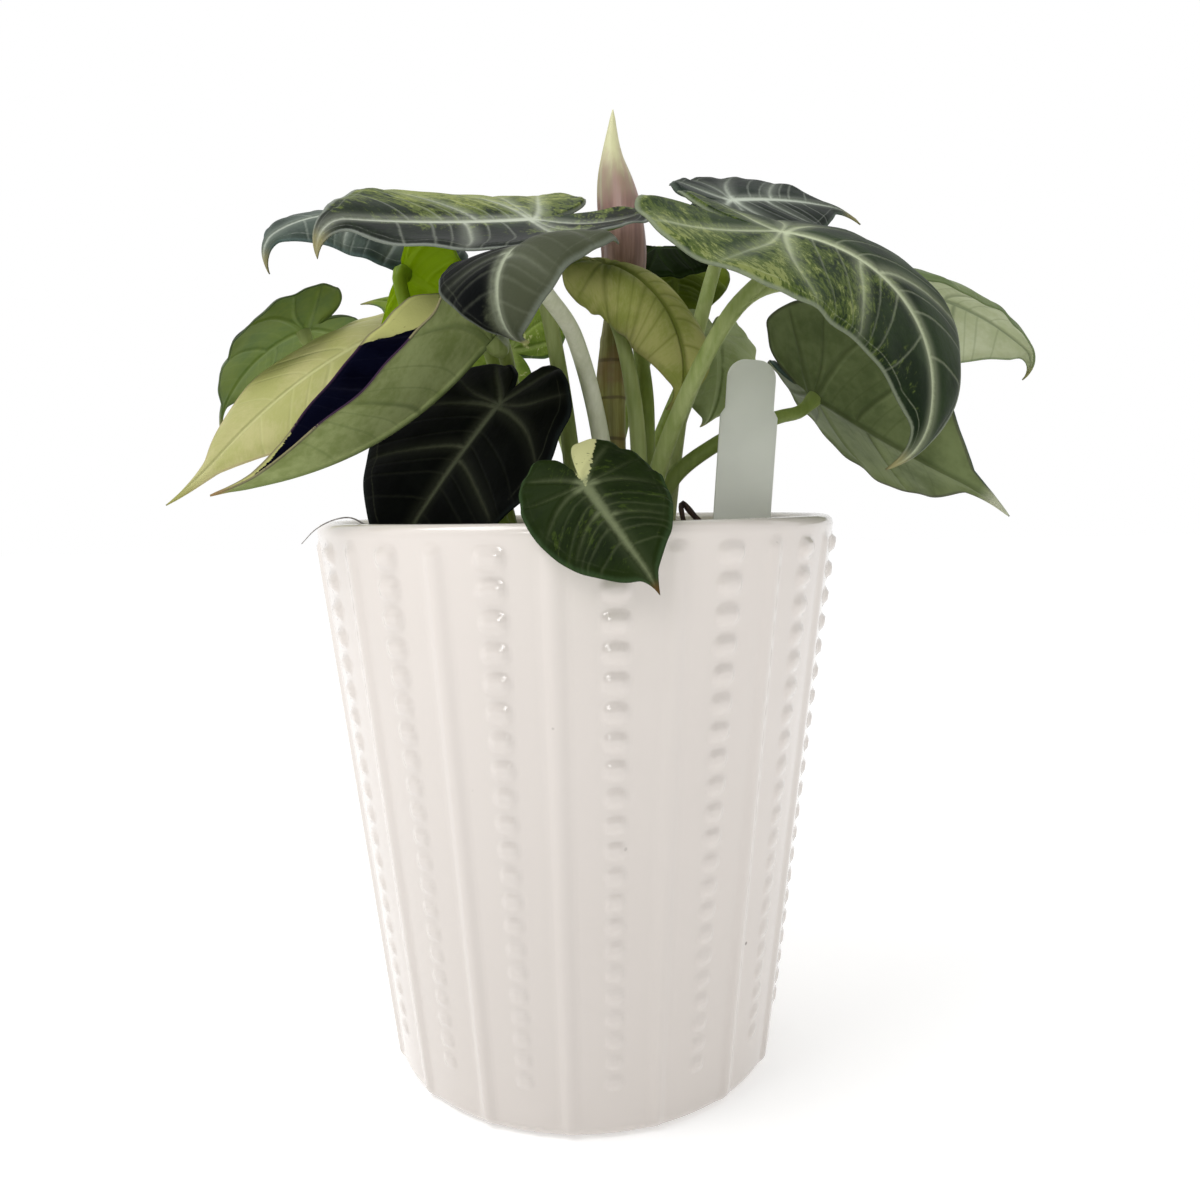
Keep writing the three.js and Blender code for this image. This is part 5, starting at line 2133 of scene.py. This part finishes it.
# The leaves
FORMS = {
    "big_right": LeafForm(
        at=(48, -45, 213), heading=-14, rise=-13, bank=24, length=71, width=74, drip=4, droop=108,
        bend=1.2, back=-15, fold_right=-2, curl_left=-11, curl_right=-7, twist=9, tip=33, side=2,
        foot=(18, -16), route=((21, -22, 160), (37, -37, 196)),
    ),
    "top_left": LeafForm(
        at=(-10, -14, 225), heading=212, rise=-11, bank=-34, length=59, width=73, drip=5, droop=-6,
        back=-9, fold_left=4, fold_right=3, curl_left=32, curl_right=-34, twist=-11, tip=93, side=7,
        foot=(0, -8), route=((-1, -10, 164), (-6, -16, 200)),
    ),
    "back_right": LeafForm(
        at=(46, 12, 237), heading=23, rise=9, bank=36, length=40, width=40, drip=8, droop=13, back=-8,
        fold_left=3, fold_right=-2, curl_left=-6, curl_right=-16, twist=-2, tip=20, side=5,
        foot=(24, 4), route=((30, 2, 180), (37, 3, 208)),
    ),
    "front_middle": LeafForm(
        at=(-8, -63, 206), heading=-127, rise=-7, bank=3, length=30, width=44, droop=155, bend=1.2,
        back=-8, fold_left=12, fold_right=7, curl_left=-37, curl_right=-22, twist=-1, tip=10, side=3,
        lobe=0.6, foot=(9, -20), route=((6.6, -24, 168), (0.5, -38, 191)),
    ),
    "front_black": LeafForm(
        at=(-19, -24, 177), heading=-157, rise=-49, bank=-18, length=52, width=63, drip=2, droop=9,
        bend=1.1, back=5, fold_left=6, fold_right=10, curl_left=-1, curl_right=-10, twist=-29, tip=27,
        side=6, lobe=0.6, foot=(-7, -15), route=((-10, -15, 150),),
    ),
    "over_rim": LeafForm(
        at=(2, -74, 156), heading=-57, rise=-39, bank=26, length=30, width=30, drip=2, droop=-2, back=3,
        fold_left=8, fold_right=-6, curl_left=-16, curl_right=-20, twist=8, tip=17, side=-3,
        foot=(3, -30), route=((3, -40, 145), (3, -59, 155)), approach=3,
    ),
    "low_right": LeafForm(
        at=(68, 3, 181), heading=-37, rise=-35, bank=-48, length=54, width=65, drip=8, droop=-8,
        bend=0.9, back=-8, fold_left=25, fold_right=10, curl_left=2, curl_right=-10, twist=-15, tip=20,
        side=3, foot=(23, -7), route=((25, -4, 156), (39, -3, 168), (56, -1, 175)),
    ),
    "far_right": LeafForm(
        at=(108, 50, 221), heading=-10, bank=-22, length=52, width=64, drip=4, droop=35, bend=1.2,
        rise=-16, back=-2, fold_left=-8, fold_right=-10, curl_left=-24, curl_right=-39, twist=4, tip=90,
        side=-2, foot=(24, 15), route=((29, 20, 170), (44, 27, 202), (57, 33, 216), (80, 43, 220)),
    ),
    "low_left": LeafForm(
        at=(-88, 53, 210), heading=185, rise=-23, bank=6, length=41, width=58, drip=6, droop=48,
        bend=1.1, back=-4, fold_left=9, curl_left=-11, curl_right=-20, twist=-14, tip=20, side=2,
        foot=(-15, 13), route=((-30, 20, 160), (-60, 30, 190)),
    ),
    "back_left": LeafForm(
        at=(-49, 18, 233), heading=210, rise=11, bank=-20, length=44, width=48, drip=6, droop=55,
        bend=1.1, fold_left=-10, fold_right=-1, curl_left=-27, curl_right=-20, twist=-7, tip=71, side=2,
        foot=(-9, 5), route=((-18, 10, 175), (-31, 14, 212)),
    ),
    "folded_left": LeafForm(
        at=(-21, -25, 193), heading=203, rise=-51, bank=-7, length=76, width=56, drip=2, droop=-46,
        bend=1.1, fold_left=48, fold_right=37, twist=-15, tip=7, side=-1, lobe=0.3, foot=(-10, -7),
        route=((-16, 4, 178), (-19, -8, 196)), approach=3,
    ),
    "pale_left": LeafForm(
        at=(-47, 29, 208), heading=191, rise=-16, bank=-18, length=84, width=58, drip=8, droop=36,
        bend=0.7, fold_left=-4, fold_right=10, curl_left=-60, curl_right=-26, twist=-23, tip=-19,
        side=10, lobe=0.2, foot=(-17, 4), route=((-26, 12, 170),),
    ),
    "behind_left": LeafForm(
        at=(-22, 74, 206), heading=170, rise=32, bank=-54, length=54, width=61, drip=4, droop=22,
        fold_right=5, curl_left=-10, curl_right=-14, twist=6, tip=20, lobe=0.6, approach=5,
        foot=(-4, 21), route=((-1, 36, 145), (-3, 66, 172), (-11, 80, 190)),
    ),
    "bright_left": LeafForm(
        at=(-44, -6, 214), heading=-5, rise=-30, bank=-60, length=24, width=34, drip=5, droop=7,
        fold_left=-2, curl_left=-23, curl_right=-20, twist=-1, tip=19, lobe=0.2, approach=3,
        foot=(-17, -5), route=((-32, 7, 176), (-42, -7, 199)),
    ),
    "behind_right": LeafForm(
        at=(45, 41, 205), heading=-62, rise=-65, bank=-9, length=31, width=43, droop=71, back=-2,
        fold_left=5, curl_left=-22, curl_right=-20, twist=2, tip=27, lobe=0.6, foot=(14, 22),
        route=((26, 42, 170),),
    ),
    "small_back": LeafForm(
        at=(27, 38, 231), heading=-8, rise=-4, bank=38, length=24, width=34, droop=10, fold_left=-24,
        curl_left=-10, curl_right=-14, tip=10, lobe=0.7, approach=4, foot=(19, 9),
        route=((21, 13, 180), (19, 26, 214)),
    ),
    "bright_back": LeafForm(
        at=(35, 60, 231), heading=-99, rise=-43, length=34, width=36, droop=16, curl_left=-20,
        curl_right=-20, tip=20, side=-1, lobe=0.7, foot=(5, 18), route=((16, 40, 180),),
    ),
    "rolled_middle": LeafForm(
        at=(9.3, -11.6, 213.9), heading=-18, rise=-16, bank=18, length=47, width=40, drip=2, droop=90,
        bend=0.9, back=11, fold_left=26, fold_right=21, curl_left=-134, curl_right=-156, twist=24,
        tip=49, side=-6, foot=(16, -6), route=((17, -8, 169), (13, -8, 196)), lobe=0.5,
    ),
}
COLOURS = {
    "big_right": BladeColours(
        base=(38, 52, 28), deep=(23, 34, 20), mottle=(78, 92, 44), flash=(128, 136, 80), mottled=0.6,
        flashed=0.4, mottled_side=-0.4, mottled_joint=0.25, vein=(190, 198, 164), vein_strength=0.85,
        glow=0.45, margin=(126, 134, 112), margin_strength=0.8, shine=0.04, side_strength=0.7, seed=1.0,
    ),
    "top_left": BladeColours(
        base=(36, 46, 32), deep=(15, 20, 17), mottle=(88, 100, 48), flash=(136, 144, 78), mottled=0.8,
        flashed=0.55, mottled_side=-0.6, mottled_joint=0.2, vein=(192, 198, 180), vein_strength=0.85,
        # painted shade: the deepest green leaned onto the blade's left half, the near one
        glow=0.45, margin=(128, 134, 124), margin_strength=0.9, side_strength=0.65, shade_side=0.65,
        shine=0.07, seed=2.3,
    ),
    "back_right": BladeColours(
        base=(28, 38, 32), deep=(18, 25, 22), vein=(190, 198, 182), vein_strength=0.85, glow=0.35,
        margin=(84, 96, 84), side_strength=0.6, seed=3.1,
    ),
    "front_middle": BladeColours(
        base=(62, 66, 50), deep=(6, 8, 8), vein=(156, 162, 140), margin=(104, 110, 98),
        margin_strength=0.7, tip=(180, 178, 110), shine=0.03, through=0.02, side_strength=0.2,
        # painted shade: the deepest green leaned onto the blade's right half
        shade_side=-1.3, fine_strength=0.08, seed=4.7,
    ),
    "front_black": BladeColours(
        base=(9, 11, 9), deep=(4, 5, 4), vein=(88, 92, 72), vein_strength=0.75, glow=0.2,
        margin=(26, 32, 30), shine=0.03, through=0.02, rough=0.6, fine_strength=0.08, side_strength=0.7,
        seed=5.2,
    ),
    "over_rim": BladeColours(
        base=(26, 38, 10), deep=(18, 28, 8), mottle=(46, 60, 18), flash=(66, 80, 28), mottled=0.45,
        flashed=0.25, vein=(116, 124, 92), vein_strength=0.7, glow=0.12, margin=(56, 76, 48),
        margin_strength=0.5, tip=(90, 60, 30), patch=(186, 186, 134), patch_slope=0.75, shine=0.03,
        through=0.02, fine_strength=0.15, side_strength=0.3, seed=6.6,
    ),
    "low_right": BladeColours(
        under=(120, 132, 88), under_dark=(92, 104, 66), under_vein=(70, 80, 46),
        under_margin=(60, 55, 55), tip=(214, 216, 190), seed=7.4,
    ),
    "far_right": BladeColours(
        base=(120, 132, 92), deep=(100, 114, 76), vein=(150, 160, 120), margin=(110, 124, 86),
        under=(204, 210, 176), under_dark=(182, 190, 150), under_vein=(122, 132, 104),
        under_vein_strength=0.6, under_margin=(70, 96, 62), through=0.2, seed=8.9,
    ),
    "low_left": BladeColours(
        base=(90, 104, 70), margin=(90, 104, 70), under=(122, 138, 68), under_dark=(100, 120, 66),
        under_vein=(146, 162, 100), under_vein_strength=0.28, under_margin=(60, 72, 50), through=0.25,
        seed=9.5,
    ),
    "back_left": BladeColours(
        base=(66, 78, 70), deep=(46, 56, 52), vein=(188, 196, 182), glow=0.3, margin=(80, 98, 96),
        seed=10.2,
    ),
    "folded_left": BladeColours(
        base=(7, 8, 22), deep=(4, 4, 14), vein=(44, 44, 60), vein_strength=0.35, glow=0.1,
        margin=(70, 50, 70), under=(152, 162, 110), under_dark=(122, 134, 80), under_vein=(96, 110, 66),
        under_margin=(66, 46, 62), tip=(150, 120, 80), patch=(170, 170, 108), patch_end=0.93,
        patch_start=-0.41, shine=0.0, through=0.0, fine_strength=0.1, seed=11.7,
    ),
    "pale_left": BladeColours(
        base=(170, 170, 106), deep=(184, 180, 124), vein=(206, 206, 150), vein_strength=0.4, glow=0.2,
        margin=(190, 176, 136), under=(174, 176, 106), under_dark=(188, 184, 126),
        under_vein=(140, 144, 84), under_vein_strength=0.35, under_margin=(150, 130, 90),
        tip=(150, 150, 74), seed=12.4,
    ),
    "behind_left": BladeColours(
        base=(122, 140, 58), deep=(84, 104, 32), vein=(170, 182, 118), vein_strength=0.4,
        mottle=(190, 192, 130), flash=(206, 206, 150), mottled=0.35, flashed=0.3, under=(122, 140, 66),
        under_dark=(92, 112, 44), under_vein=(150, 170, 104), glow=0.1, fine_strength=0.1, shine=0.05,
        through=0.25, seed=13.8,
    ),
    "bright_left": BladeColours(
        base=(130, 158, 24), deep=(110, 140, 20), vein=(150, 176, 60), vein_strength=0.5,
        under=(134, 162, 28), under_dark=(112, 142, 20), under_vein=(156, 180, 60),
        light_through=(206, 228, 14), through=0.6, seed=14.1,
    ),
    "behind_right": BladeColours(
        under=(172, 184, 138), under_dark=(150, 164, 114), under_vein=(184, 196, 150),
        base=(156, 164, 122), deep=(134, 144, 98), vein=(170, 180, 140), vein_strength=0.25, glow=0.1,
        fine_strength=0.1, margin=(120, 130, 90), shine=0.05, through=0.25, seed=15.6,
    ),
    "small_back": BladeColours(
        base=(14, 24, 4), deep=(10, 18, 3), vein=(40, 54, 24), vein_strength=0.4, glow=0.1,
        margin=(30, 42, 20), under=(60, 78, 24), under_dark=(44, 60, 18), fine_strength=0.1, shine=0.01,
        through=0.04, seed=16.3,
    ),
    "bright_back": BladeColours(
        base=(92, 106, 28), deep=(72, 86, 20), vein=(110, 124, 50), vein_strength=0.4, glow=0.1,
        margin=(80, 92, 40), under=(92, 106, 28), under_dark=(72, 86, 20), light_through=(130, 150, 20),
        fine_strength=0.1, shine=0.02, through=0.2, seed=17.5,
    ),
    "rolled_middle": BladeColours(
        base=(176, 174, 108), deep=(146, 152, 78), vein=(104, 112, 42), vein_strength=0.75, glow=0.08,
        fine_strength=0.6, margin=(150, 146, 90), shine=0.04, under=(206, 200, 134),
        under_dark=(170, 172, 92), under_vein=(96, 104, 34), under_vein_strength=0.85, under_fine=0.85,
        under_fine_width=0.35, under_margin=(120, 112, 70), through=0.2, seed=18.2,
    ),
}
PALE_GREEN = PetioleSkin((142, 158, 88), (104, 122, 58))
PETIOLE_SKINS = {
    # painted light: this petiole's pale green is raised to near white to stand for light shining through
    # it
    "front_middle": PetioleSkin((240, 240, 220), (212, 214, 188)),
    "bright_left": PetioleSkin((140, 166, 40), (112, 140, 26)),
    "low_right": PALE_GREEN,
    "small_back": PALE_GREEN,
    "behind_right": PALE_GREEN,
    "bright_back": PALE_GREEN,
    "behind_left": PALE_GREEN,
}


@dataclass
class Plant:
    """All the leaves, each with its form, its colours and its petiole's skin."""

    forms: dict[str, LeafForm]
    colours: dict[str, BladeColours]
    petiole_skins: dict[str, PetioleSkin]

    def build(self) -> None:
        """Makes every blade and its petiole."""
        for name, form in self.forms.items():
            Blade(name, form, self.colours[name]).build()
            Petiole(name, form, self.petiole_skins.get(name, PetioleSkin())).build()


def main() -> None:
    """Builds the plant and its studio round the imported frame."""
    logging.basicConfig(level=logging.INFO, format="%(name)s: %(message)s")
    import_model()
    Studio().build()
    Pot().build()
    Soil().build()
    Plant(FORMS, COLOURS, PETIOLE_SKINS).build()
    Flower().build()
    Label().build()
    Litter().build()


if __name__ == "__main__":
    main()
